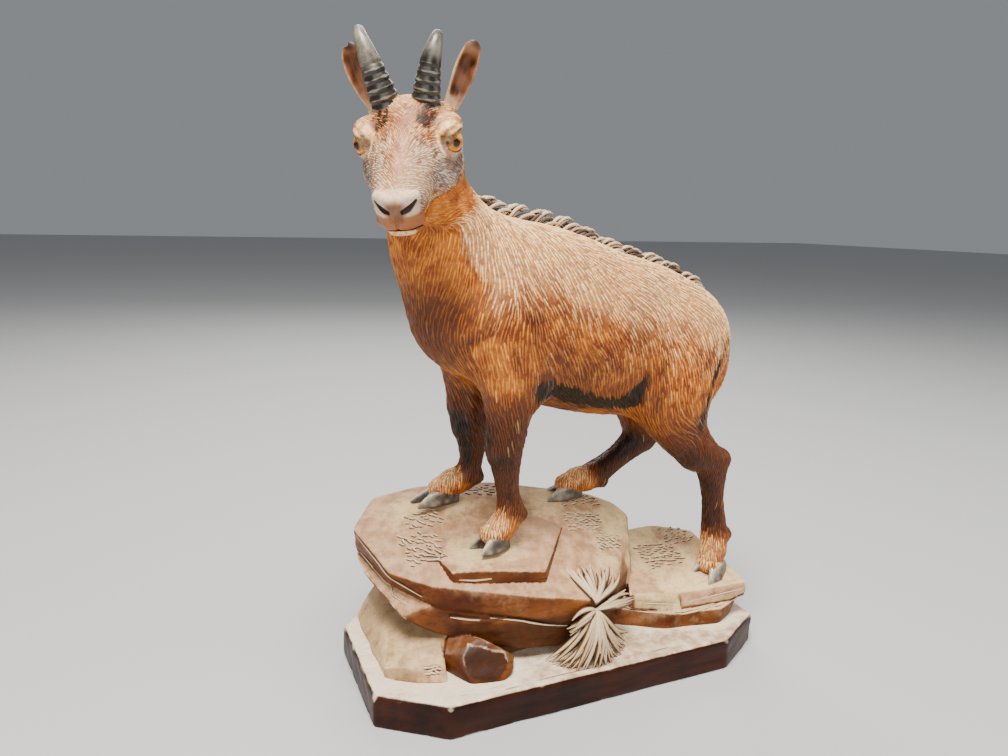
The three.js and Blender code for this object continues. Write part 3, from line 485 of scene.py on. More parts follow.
def hoof_corners(heel, toe, sole, size):
    back = np.array([*heel, 0.0])
    forward = np.array([toe[0] - heel[0], toe[1] - heel[1], 0.0])
    length = np.linalg.norm(forward)
    forward /= length
    side = np.array([-forward[1], forward[0], 0])

    def place(along, across, up):
        spot = back + forward * along + side * across
        return [spot[0], spot[1], sole + up]

    return [[
        place(-3.6 * size, hand * 0.3, -1), place(-3 * size, hand * 4 * size, -1),
        place(length * 0.4, hand * 5.9 * size, -1), place(length * 0.9, hand * 4.6 * size, -1),
        place(length * 0.97, hand * 3.6 * size, -1), place(length * 0.3, hand * 0.3, -1),
        place(length * 0.99, hand * 4.0 * size, 0.3), place(-3.2 * size, hand * 0.2, 5.5 * size),
        place(-2.6 * size, hand * 3.6 * size, 5 * size), place(length * 0.3, hand * 4.3 * size, 5.2 * size),
        place(length * 0.34, hand * 0.6 * size, 6.4 * size),
        place(length * 0.75, hand * 3.2 * size, 2.9 * size),
    ] for hand in (-1, 1)]


TOES = [corners for name, leg in LEGS.items()
        for corners in hoof_corners(*leg["foot"][:3], leg["foot"][3] * HOOF_SIZES[name])]
TOE_PLANES = [planes_of(corners) for corners in TOES]


def hoof_distance(points):
    gap = np.full(len(points), FAR)
    for corners, planes in zip(TOES, TOE_PLANES):
        near = within(points, corners, 5)
        gap[near] = np.minimum(gap[near], hull_distance(points[near], planes, 0.3))
    return gap


def surface(distance, low, high, cell):
    """Points and four-sided faces of the surface where the distance is nought, found block by block."""
    block = 4
    low = np.asarray(low, float)
    size = block * cell
    count = np.ceil((np.asarray(high) - low) / size).astype(int)
    blocks = np.stack(np.meshgrid(*[np.arange(n) for n in count], indexing="ij"), -1).reshape(-1, 3)
    gaps = distance(low + (blocks + 0.5) * size)
    blocks = blocks[np.abs(gaps) < size * 1.05]
    grid = count * block + 2

    def key_of(places):
        return (places[:, 0] * grid[1] + places[:, 1]) * grid[2] + places[:, 2]

    inner = np.stack(np.meshgrid(*[np.arange(block + 1)] * 3, indexing="ij"), -1).reshape(-1, 3)
    corners = (blocks[:, None, :] * block + inner[None]).reshape(-1, 3)
    keys, first = np.unique(key_of(corners), return_index=True)
    corners = corners[first]
    values = distance(low + corners * cell)

    def value_at(places):
        wanted = key_of(places)
        found = np.clip(np.searchsorted(keys, wanted), 0, len(keys) - 1)
        return np.where(keys[found] == wanted, values[found], np.nan)

    edges = []
    for axis in range(3):
        step = np.eye(3, dtype=int)[axis]
        beyond = value_at(corners + step)
        crossing = np.isfinite(beyond) & ((values < 0) != (beyond < 0))
        start = corners[crossing]
        t = values[crossing] / (values[crossing] - beyond[crossing])
        edges.append((axis, start, start + t[:, None] * step, values[crossing] < 0))
    cells, points = [], []
    for axis, start, crossing, _ in edges:
        others = [k for k in range(3) if k != axis]
        for i in (0, 1):
            for j in (0, 1):
                owner = start.copy()
                owner[:, others[0]] -= i
                owner[:, others[1]] -= j
                cells.append(owner)
                points.append(crossing)
    cells, points = np.vstack(cells), np.vstack(points)
    names, place = np.unique(key_of(cells), return_inverse=True)
    total = np.stack([np.bincount(place, points[:, k]) for k in range(3)], 1)
    verts = low + total / np.bincount(place)[:, None] * cell
    faces = []
    for axis, start, _, inside in edges:
        u, v = (axis + 1) % 3, (axis + 2) % 3
        ring = []
        for i, j in ((1, 1), (0, 1), (0, 0), (1, 0)):
            owner = start.copy()
            owner[:, u] -= i
            owner[:, v] -= j
            ring.append(np.searchsorted(names, key_of(owner)))
        ring = np.stack(ring, 1)
        ring[~inside] = ring[~inside][:, ::-1]
        faces.append(ring)
    return verts, np.vstack(faces)


def slopes(distance, points):
    """Value and outward direction of the distance at each point."""
    step = 0.12
    here = distance(points)
    ahead = [distance(points + step * axis) for axis in np.eye(3)]
    return here, unit(np.stack(ahead, 1) - here[:, None])


def settle(distance, points, rounds=1):
    """Moves points onto the surface and gives its outward directions there."""
    for _ in range(rounds):
        here, normals = slopes(distance, points)
        points = points - np.clip(here, -0.8, 0.8)[:, None] * normals
    return points, normals


def with_middles(points, faces):
    """The points of a mesh, then the middles of its edges and of its faces."""
    edges = np.sort(np.stack([faces, np.roll(faces, -1, 1)], -1).reshape(-1, 2), axis=1)
    codes = np.unique(edges[:, 0] * len(points) + edges[:, 1])
    pairs = np.stack([codes // len(points), codes % len(points)], 1)
    return np.vstack([points, points[pairs].mean(1), points[faces].mean(1)])


def guided(points, guides, reach):
    """The way that the hair lies, blended from the nearest guides."""
    guides = np.asarray(guides, float)
    far = ((points[:, None, :] - guides[None, :, :3]) ** 2).sum(-1) / (2 * reach ** 2)
    weight = np.exp(far.min(1)[:, None] - far)
    return unit(weight @ unit(guides[:, 3:]))


def hair_ways(points, normals):
    near = points.copy()
    near[:, 1] = MIDLINE - np.abs(points[:, 1] - MIDLINE)
    ways = guided(near, HAIR_GUIDES, HAIR_REACH)
    ways[:, 1] *= np.where(points[:, 1] > MIDLINE, -1, 1)
    leg = smooth(points[:, 2], 104, 84)[:, None]
    ways = unit(ways * (1 - leg) + np.array([0, 0, -1.0]) * leg)
    local = to_head(points)
    head_ways = guided(folded(local), HEAD_HAIR_GUIDES, HEAD_HAIR_REACH)
    head_ways[:, 1] *= np.where(local[:, 1] < 0, -1, 1)
    share = smooth(neck_side(points), -6, 6)[:, None]
    ways = unit(ways * (1 - share) + head_ways @ HEAD_AXES * share)
    return unit(ways - (ways * normals).sum(1)[:, None] * normals)


def stroke_sizes(points):
    """How large the hair strokes are at each point, against those on the flank."""
    head = smooth(neck_side(points), -4, 8)
    leg = smooth(points[:, 2], 112, 92)
    return 1 - 0.53 * head - 0.33 * leg * (1 - head)


NEIGHBOURS = sorted(itertools.product((-1, 0, 1), repeat=3), key=any)


def bald_share(points):
    """One on the eyes and their lids, the nose and the lips, which carry no hair strokes."""
    local = to_head(points)
    mirrored = folded(local)
    near = smooth(np.linalg.norm(mirrored - EYE, axis=1), 7.3, 6.5)
    nose = smooth(local[:, 0], 37.5, 39.5) * smooth(local[:, 2], 1.5, -0.5)
    lips = smooth(local[:, 0], 32, 34) * smooth(local[:, 2], -8, -9.5)
    return np.maximum(near, np.maximum(nose, lips) * smooth(neck_side(points), -2, 2))


def plant_strokes(points, normals):
    """Middles of the hair strokes, spread over the surface so that they don't crowd each other."""
    order = chance.permutation(len(points))[:150000]
    points, normals = points[order], normals[order]
    keep = bald_share(points) < 0.5
    points, normals = points[keep], normals[keep]
    ways, sizes = hair_ways(points, normals), stroke_sizes(points)
    cell = STROKE_SPACING
    boxes = {}
    kept = []
    ratio = (STROKE_SPACING / (STROKE_WIDTH * 0.92)) ** 2
    rows = np.hstack([points, ways, sizes[:, None]]).tolist()
    for index, (x, y, z, wx, wy, wz, size) in enumerate(rows):
        key = (int(x // cell), int(y // cell), int(z // cell))
        limit = (STROKE_SPACING * size) ** 2
        free = True
        for near in NEIGHBOURS:
            for ox, oy, oz in boxes.get((key[0] + near[0], key[1] + near[1], key[2] + near[2]), ()):
                dx, dy, dz = ox - x, oy - y, oz - z
                along = (dx * wx + dy * wy + dz * wz) ** 2
                if along + (dx * dx + dy * dy + dz * dz - along) * ratio < limit:
                    free = False
                    break
            if not free:
                break
        if free:
            boxes.setdefault(key, []).append((x, y, z))
            kept.append(index)
    kept = np.array(kept)
    lock = (value_noise(points[kept], 11, 21) - 0.5) * 0.55
    turns = chance.normal(0, 0.05, len(kept)) + lock
    return points[kept], normals[kept], turns, sizes[kept] * chance.uniform(0.85, 1.15, len(kept))


def hair_lines(strokes):
    """Five places along each stroke, following the lie of the hair over the surface."""
    centres, normals, turns, sizes = strokes
    step = (STROKE_LENGTH * sizes / 4)[:, None]
    halves = []
    for hand in (-1, 1):
        p, n = centres, normals
        half = []
        for _ in range(2):
            way = hair_ways(p, n)
            way = unit(way + np.cross(n, way) * turns[:, None])
            p, n = settle(dressed_distance, p + hand * way * step)
            half.append((p, n))
        halves.append(half)
    return halves[0][::-1] + [(centres, normals)] + halves[1]


def dressed_distance(points):
    gap = animal_distance(points)
    high = points[:, 2] > 176
    if high.any():
        gap[high] = head_details(to_head(points[high]), gap[high])
    return gap


# Materials

def node_tree(name, inputs, outputs):
    tree = bpy.data.node_groups.new(name, "ShaderNodeTree")
    for title, kind, value in inputs:
        socket = tree.interface.new_socket(title, in_out="INPUT", socket_type=kind)
        socket.default_value = value
    for title, kind in outputs:
        tree.interface.new_socket(title, in_out="OUTPUT", socket_type=kind)
    return tree, tree.nodes.new("NodeGroupInput"), tree.nodes.new("NodeGroupOutput")


class Nodes:
    """Short ways to place and join the nodes of one tree."""

    def __init__(self, tree):
        self.tree = tree

    def feed(self, socket, value):
        if isinstance(value, bpy.types.NodeSocket):
            self.tree.links.new(value, socket)
        else:
            socket.default_value = value

    def math(self, kind, a, b=0.0, clamp=False):
        node = self.tree.nodes.new("ShaderNodeMath")
        node.operation = kind
        node.use_clamp = clamp
        self.feed(node.inputs[0], a)
        self.feed(node.inputs[1], b)
        return node.outputs[0]

    def times(self, a, b):
        return self.math("MULTIPLY", a, b)

    def plus(self, a, b, clamp=False):
        return self.math("ADD", a, b, clamp)

    def shades(self, factor, a, b):
        """A mix of two colours given by their codes."""
        return self.mix(factor, colour(a), colour(b))

    def mix(self, factor, a, b, kind="MIX"):
        node = self.tree.nodes.new("ShaderNodeMix")
        node.data_type = "RGBA"
        node.blend_type = kind
        self.feed(node.inputs[0], factor)
        self.feed(node.inputs[6], a)
        self.feed(node.inputs[7], b)
        return node.outputs[2]

    def fit(self, value, low, high, to_low=0.0, to_high=1.0):
        node = self.tree.nodes.new("ShaderNodeMapRange")
        node.interpolation_type = "SMOOTHSTEP"
        for index, item in enumerate((value, low, high, to_low, to_high)):
            self.feed(node.inputs[index], item)
        return node.outputs[0]

    def noise(self, vector, scale, detail=3.0, rough=0.55, distort=0.0):
        node = self.tree.nodes.new("ShaderNodeTexNoise")
        self.feed(node.inputs["Vector"], vector)
        node.inputs["Scale"].default_value = scale
        node.inputs["Detail"].default_value = detail
        node.inputs["Roughness"].default_value = rough
        node.inputs["Distortion"].default_value = distort
        return node.outputs["Fac"]

    def stretched(self, vector, scale):
        node = self.tree.nodes.new("ShaderNodeMapping")
        self.feed(node.inputs["Vector"], vector)
        node.inputs["Scale"].default_value = scale
        return node.outputs["Vector"]

    def place(self):
        return self.tree.nodes.new("ShaderNodeTexCoord").outputs["Object"]

    def attributes(self, *names):
        outputs = []
        for name in names:
            node = self.tree.nodes.new("ShaderNodeAttribute")
            node.attribute_name = name
            outputs.append(node.outputs["Fac"])
        return outputs


def colour(code):
    parts = [int(code[k:k + 2], 16) / 255 for k in (0, 2, 4)]
    return [((v + 0.055) / 1.055) ** 2.4 if v > 0.04045 else v / 12.92 for v in parts] + [1.0]


def wood_grain_group():
    """Long fibres and pores of the wood, running along X."""
    tree, into, out = node_tree(
        "wood grain", [("Place", "NodeSocketVector", (0, 0, 0)), ("Fineness", "NodeSocketFloat", 1.0)],
        [("Fibre", "NodeSocketFloat"), ("Pores", "NodeSocketFloat")])
    n = Nodes(tree)
    scaled = tree.nodes.new("ShaderNodeVectorMath")
    scaled.operation = "SCALE"
    n.feed(scaled.inputs[0], into.outputs["Place"])
    n.feed(scaled.inputs["Scale"], into.outputs["Fineness"])
    fibre = n.noise(n.stretched(scaled.outputs[0], (35, 420, 420)), 1.0, 4, 0.6, 0.4)
    pores = n.noise(n.stretched(scaled.outputs[0], (160, 1500, 1500)), 1.0, 2, 0.6)
    n.feed(out.inputs["Fibre"], fibre)
    n.feed(out.inputs["Pores"], n.fit(pores, 0.62, 0.7))
    return tree


def patina_group():
    """Blotches of stain and fine dust at several sizes."""
    tree, into, out = node_tree(
        "patina", [("Place", "NodeSocketVector", (0, 0, 0))],
        [("Blotch", "NodeSocketFloat"), ("Mottle", "NodeSocketFloat"), ("Speck", "NodeSocketFloat")])
    n = Nodes(tree)
    place = into.outputs["Place"]
    n.feed(out.inputs["Blotch"], n.noise(place, 45, 3, 0.6))
    n.feed(out.inputs["Mottle"], n.noise(place, 190, 4, 0.65))
    n.feed(out.inputs["Speck"], n.noise(place, 900, 2, 0.6))
    return tree


WOOD_GRAIN = wood_grain_group()
PATINA = patina_group()


def place_group(n, tree, **values):
    node = n.tree.nodes.new("ShaderNodeGroup")
    node.node_tree = tree
    for key, value in values.items():
        n.feed(node.inputs[key], value)
    return node.outputs


def new_material(name, rough, coat=0.0, specular=0.5):
    material = bpy.data.materials.new(name)
    material.use_nodes = True
    tree = material.node_tree
    shader = tree.nodes["Principled BSDF"]
    shader.inputs["Roughness"].default_value = rough
    shader.inputs["Coat Weight"].default_value = coat
    shader.inputs["Coat Roughness"].default_value = 0.3
    shader.inputs["Specular IOR Level"].default_value = specular
    return material, Nodes(tree), shader


def bump(n, shader, height, strength, distance):
    node = n.tree.nodes.new("ShaderNodeBump")
    node.inputs["Strength"].default_value = strength
    node.inputs["Distance"].default_value = distance
    n.feed(node.inputs["Height"], height)
    n.feed(shader.inputs["Normal"], node.outputs["Normal"])


def coat_material():
    """Stained hair: a red-brown ground, orange and black stains, and pale dust on the ridges, with painted
    shade in the grooves and on the sides of the strokes, and a lighter crown tone that is partly painted
    light.
    """
    material, n, shader = new_material("stained hair with painted shade", 0.55, 0.05, 0.3)
    place = n.place()
    grain = place_group(n, WOOD_GRAIN, Place=place, Fineness=1.4)
    patina = place_group(n, PATINA, Place=place)
    groove, pale, dark, orange = n.attributes("groove", "pale", "dark", "orange")
    grey, pink, brown, soft = n.attributes("grey", "pink", "brown", "soft")
    blotch, mottle, speck = patina["Blotch"], patina["Mottle"], patina["Speck"]
    uneven = n.math("SUBTRACT", mottle, 0.5)
    ground = n.mix(n.fit(blotch, 0.35, 0.65), colour("62240A"), colour("93460F"))
    warm = n.mix(n.fit(mottle, 0.35, 0.65), colour("A84C06"), colour("E58A1C"))
    warmth = n.plus(orange, n.times(uneven, 0.9), clamp=True)
    ground = n.mix(n.fit(warmth, 0.25, 0.9), ground, warm)
    ground = n.mix(n.times(grey, 0.9), ground, n.shades(mottle, "4E463E", "96897A"))
    ground = n.mix(n.times(pink, 0.85), ground, n.shades(mottle, "9A4626", "CE8860"))
    browned = n.plus(brown, n.times(uneven, 0.5), clamp=True)
    ground = n.mix(n.fit(browned, 0.05, 0.95), ground, n.shades(mottle, "2C1000", "6E3004"))
    # The crowns of the strokes take a lighter copy of the ground: partly rubbing, partly painted light.
    ridge = n.fit(groove, 0.92, 0.35)
    rubbed_and_lit = n.mix(0.55, ground, colour("E39A50"), "SCREEN")
    ground = n.mix(n.times(ridge, n.fit(brown, 0, 1, 0.34, 0.1)), ground, rubbed_and_lit)
    # The dark mask holds black stains and also painted shade on the legs, along the flank crease and at the
    # lip corners.
    stain_and_painted_light = n.plus(dark, n.times(uneven, 0.7), clamp=True)
    ground = n.mix(n.fit(stain_and_painted_light, 0.3, 0.85), ground, n.shades(mottle, "0A0400", "2E1604"))
    # Painted shade: the grooves between the strokes and the sides of the strokes are darkened.
    deep = n.times(n.fit(groove, 0.5, 1.0), n.fit(soft, 0, 1, 0.7, 0.35))
    ground = n.mix(deep, ground, n.mix(0.8, ground, colour("7A3414"), "MULTIPLY"))
    film = n.fit(n.plus(pale, n.times(soft, 0.3)), 0.3, 1.2, 0.05, 0.3)
    settled = n.plus(n.times(ridge, 0.75), film, clamp=True)
    dust = n.times(n.fit(n.plus(pale, n.times(uneven, 0.6)), 0.12, 0.9), settled)
    dusty = n.mix(n.fit(speck, 0.35, 0.65), colour("E6A460"), colour("FFDCA4"))
    # Grey turns the dust neutral, on the cheeks and in the painted highlight on the muzzle.
    dusty = n.mix(n.fit(grey, 0.1, 0.8, 0, 0.75), dusty, colour("E4DAD0"))
    top = n.mix(dust, ground, dusty)
    top = n.mix(n.times(grain["Pores"], 0.2), top, colour("2A150C"))
    n.feed(shader.inputs["Base Color"], top)
    rough = n.plus(dust, n.times(mottle, 0.3))
    n.feed(shader.inputs["Roughness"], n.fit(rough, 0.0, 1.1, 0.42, 0.72))
    height = n.plus(n.times(grain["Fibre"], 0.5), n.times(speck, 0.6))
    bump(n, shader, height, 0.3, 0.0003)
    return material


def rock_material(name, side, top_colour, dust_colour):
    """Dark stained sides and paler tops, their difference partly rubbing and partly painted light; pale worn
    edges with a painted highlight along one ridge; painted shade where the shade mask lies.
    """
    material, n, shader = new_material(name, 0.5, 0.0, 0.18)
    place = n.place()
    grain = place_group(n, WOOD_GRAIN, Place=place, Fineness=0.8)
    patina = place_group(n, PATINA, Place=place)
    rubbed_and_lit, edge, dust, shade = n.attributes("rubbed_and_lit", "edge", "dust", "shade")
    blotch, mottle, speck = patina["Blotch"], patina["Mottle"], patina["Speck"]
    uneven = n.math("SUBTRACT", mottle, 0.5)
    low = n.shades(n.fit(blotch, 0.3, 0.7), side[0], side[1])
    low = n.mix(n.times(n.fit(grain["Fibre"], 0.45, 0.6), 0.45), low, colour(side[2]))
    high = n.shades(n.fit(mottle, 0.3, 0.7), *top_colour)
    # Tops paler than sides: partly rubbing, partly painted light.
    base = n.mix(n.fit(n.plus(rubbed_and_lit, n.times(uneven, 0.5), clamp=True), 0.2, 0.85), low, high)
    dusting = n.plus(dust, n.times(uneven, 0.9), clamp=True)
    base = n.mix(n.times(n.fit(dusting, 0.25, 0.9), 0.85), base, n.shades(speck, *dust_colour))
    # Pale worn edges, and on the low rock's ridge a painted highlight.
    worn = n.plus(edge, n.times(uneven, 1.1))
    base = n.mix(n.times(n.fit(worn, 0.35, 0.9), 0.8), base, n.shades(speck, "D8B898", "F2E2CA"))
    # Painted shade: the shade mask darkens towards these dark browns.
    stain_and_painted_light = n.plus(shade, n.times(uneven, 0.5), clamp=True)
    base = n.mix(n.times(n.fit(stain_and_painted_light, 0.2, 0.9), 0.88), base, n.shades(mottle, "180A04", "381C08"))
    base = n.mix(n.times(grain["Pores"], 0.3), base, colour("24130C"))
    n.feed(shader.inputs["Base Color"], base)
    rough = n.plus(dusting, n.times(mottle, 0.4))
    n.feed(shader.inputs["Roughness"], n.fit(rough, 0, 1.2, 0.4, 0.7))
    height = n.plus(n.times(grain["Fibre"], 0.8), n.times(speck, 0.4))
    bump(n, shader, height, 0.35, 0.0003)
    return material


def horn_material(name, low, high, grey_and_sheen_low, grey_and_sheen_high):
    """Dark stained horn and hoof: a grey tone with a painted sheen where the pale mask lies, and pale
    painted highlights on ring crests and sharp outer edges.
    """
    material, n, shader = new_material(name, 0.3, 0.3)
    place = n.place()
    patina = place_group(n, PATINA, Place=place)
    groove, pale = n.attributes("groove", "pale")
    mottle, speck = patina["Mottle"], patina["Speck"]
    base = n.shades(mottle, low, high)
    grey_and_sheen = n.shades(n.fit(mottle, 0.3, 0.7), grey_and_sheen_low, grey_and_sheen_high)
    # The pale mask brings in the grey tone and its painted sheen.
    base = n.mix(n.times(pale, 0.8), base, grey_and_sheen)
    # Pale painted highlight on ring crests and sharp edges, where the groove mask is low.
    ridge = n.times(n.fit(groove, 0.14, 0.0), n.plus(n.times(mottle, 0.8), 0.1))
    base = n.mix(ridge, base, n.shades(speck, "7E7462", "D2C8B2"))
    n.feed(shader.inputs["Base Color"], base)
    n.feed(shader.inputs["Roughness"], n.fit(mottle, 0.3, 0.8, 0.25, 0.5))
    bump(n, shader, n.plus(mottle, n.times(speck, 0.4)), 0.3, 0.0004)
    return material


def grass_material():
    """Blades with pale crowns worn by rubbing, and dark brown sides that are painted shade."""
    material, n, shader = new_material("dry grass stain", 0.55, 0.08)
    patina = place_group(n, PATINA, Place=n.place())
    groove, pale = n.attributes("groove", "pale")
    mottle, speck = patina["Mottle"], patina["Speck"]
    # Dark browns for the sides of each blade and stroke: painted shade.
    low = n.shades(mottle, "3A1E0A", "6E4420")
    high = n.shades(speck, "D3B68A", "F8E8C4")
    middle = n.mix(n.times(pale, 0.8), n.shades(mottle, "8C6845", "B08C60"), high)
    ridge = n.fit(n.plus(groove, n.times(n.math("SUBTRACT", mottle, 0.5), 0.3)), 0.8, 0.25)
    n.feed(shader.inputs["Base Color"], n.mix(ridge, low, middle))
    bump(n, shader, speck, 0.3, 0.0003)
    return material


def crest_material():
    """Strands of the crest: pale bodies, with painted shade on their edges and tips."""
    material, n, shader = new_material("crest stain", 0.5, 0.1)
    patina = place_group(n, PATINA, Place=n.place())
    groove, pale, dark = n.attributes("groove", "pale", "dark")
    mottle, speck = patina["Mottle"], patina["Speck"]
    # Dark colours for the strand edges, painted shade; strands with little pale take them almost all over.
    low = n.shades(mottle, "1A0E07", "54341C")
    high = n.mix(n.times(dark, 0.6), n.shades(speck, "D6B68C", "FBE6C4"), colour("63422A"))
    ridge = n.fit(n.plus(groove, n.times(n.math("SUBTRACT", mottle, 0.5), 0.3)), 0.95, 0.55)
    n.feed(shader.inputs["Base Color"], n.mix(n.times(ridge, n.fit(pale, -0.4, 0.5)), low, high))
    bump(n, shader, speck, 0.3, 0.0003)
    return material


# Making pieces

def new_mesh(name, points, faces, masks=None):
    """A smooth mesh in metres from millimetre points and faces that all have the same number of corners."""
    mesh = bpy.data.meshes.new(name)
    corners = faces.shape[1]
    mesh.vertices.add(len(points))
    mesh.vertices.foreach_set("co", (np.asarray(points) * MM).astype(np.float32).ravel())
    mesh.loops.add(faces.size)
    mesh.loops.foreach_set("vertex_index", faces.astype(np.int32).ravel())
    mesh.polygons.add(len(faces))
    mesh.polygons.foreach_set("loop_start", np.arange(len(faces), dtype=np.int32) * corners)
    mesh.polygons.foreach_set("loop_total", np.full(len(faces), corners, np.int32))
    mesh.update(calc_edges=True)
    mesh.validate()
    for key, values in (masks or {}).items():
        layer = mesh.attributes.new(key, "FLOAT", "POINT")
        layer.data.foreach_set("value", values.astype(np.float32))
    mesh.shade_smooth()
    return mesh


def new_piece(name, mesh, material, node="carving"):
    piece = bpy.data.objects.new(name, mesh)
    bpy.context.scene.collection.objects.link(piece)
    mesh.materials.clear()
    mesh.materials.append(material)
    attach(piece, "root")
    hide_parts(node)
    return piece


def points_of(mesh):
    flat = np.zeros(len(mesh.vertices) * 3, np.float32)
    mesh.vertices.foreach_get("co", flat)
    return flat.reshape(-1, 3).astype(float) / MM


def clipped(masks):
    return {name: np.clip(values, 0, 1) for name, values in masks.items()}


def thinned(mesh):
    """The same shape in fewer triangles."""
    most = MOST_TRIANGLES[mesh.name]
    count = sum(len(face.vertices) - 2 for face in mesh.polygons)
    if count <= most:
        return mesh
    carrier = bpy.data.objects.new("carrier", mesh)
    bpy.context.scene.collection.objects.link(carrier)
    modifier = carrier.modifiers.new("thin", "DECIMATE")
    modifier.ratio = most / count
    modifier.use_collapse_triangulate = True
    result = bpy.data.meshes.new_from_object(carrier.evaluated_get(bpy.context.evaluated_depsgraph_get()))
    bpy.data.objects.remove(carrier)
    result.shade_smooth()
    return result


def value_noise(points, size, seed):
    """Soft noise from nought to one with features of the given size."""
    p = np.asarray(points) / size + seed * 17.3
    cell = np.floor(p).astype(np.int64)
    f = p - cell
    f = f * f * (3 - 2 * f)
    total = np.zeros(len(p))
    for i in (0, 1):
        for j in (0, 1):
            for k in (0, 1):
                c = cell + [i, j, k]
                h = (c[:, 0] * 73856093 ^ c[:, 1] * 19349663 ^ c[:, 2] * 83492791) & 0xFFFF
                h = (h * 40503 + 12345) & 0xFFFF
                w = (np.where(i, f[:, 0], 1 - f[:, 0]) * np.where(j, f[:, 1], 1 - f[:, 1])
                     * np.where(k, f[:, 2], 1 - f[:, 2]))
                total += w * h / 65535
    return total


def inside_face(points, corners):
    """How far inside a flat many-sided face each point lies, and how far off its plane."""
    middle, axes = flat_frame(corners)
    flat, spots = (corners - middle) @ axes[:2].T, (points - middle) @ axes[:2].T
    steps = np.roll(flat, -1, 0) - flat
    turning = np.sign((flat[:, 0] * steps[:, 1] - flat[:, 1] * steps[:, 0]).sum())
    inner = unit(np.stack([-steps[:, 1], steps[:, 0]], 1)) * turning
    depth = np.min([(spots - corner) @ way for corner, way in zip(flat, inner)], 0)
    return depth, np.abs((points - middle) @ axes[2])


def near_any(points, places, reach):
    """One at the places, falling to nought at the reach."""
    mask = np.zeros(len(points))
    for place in places:
        mask = np.maximum(mask, smooth(np.linalg.norm(points - np.array(place, float), axis=1), reach, 0))
    return mask


def path_distance(points, path):
    best = np.full(len(points), 1e3)
    for a, b in zip(np.asarray(path[:-1], float), np.asarray(path[1:], float)):
        along = b - a
        t = np.clip((points - a) @ along / (along @ along), 0, 1)
        best = np.minimum(best, np.linalg.norm(points - a - t[:, None] * along, axis=1))
    return best


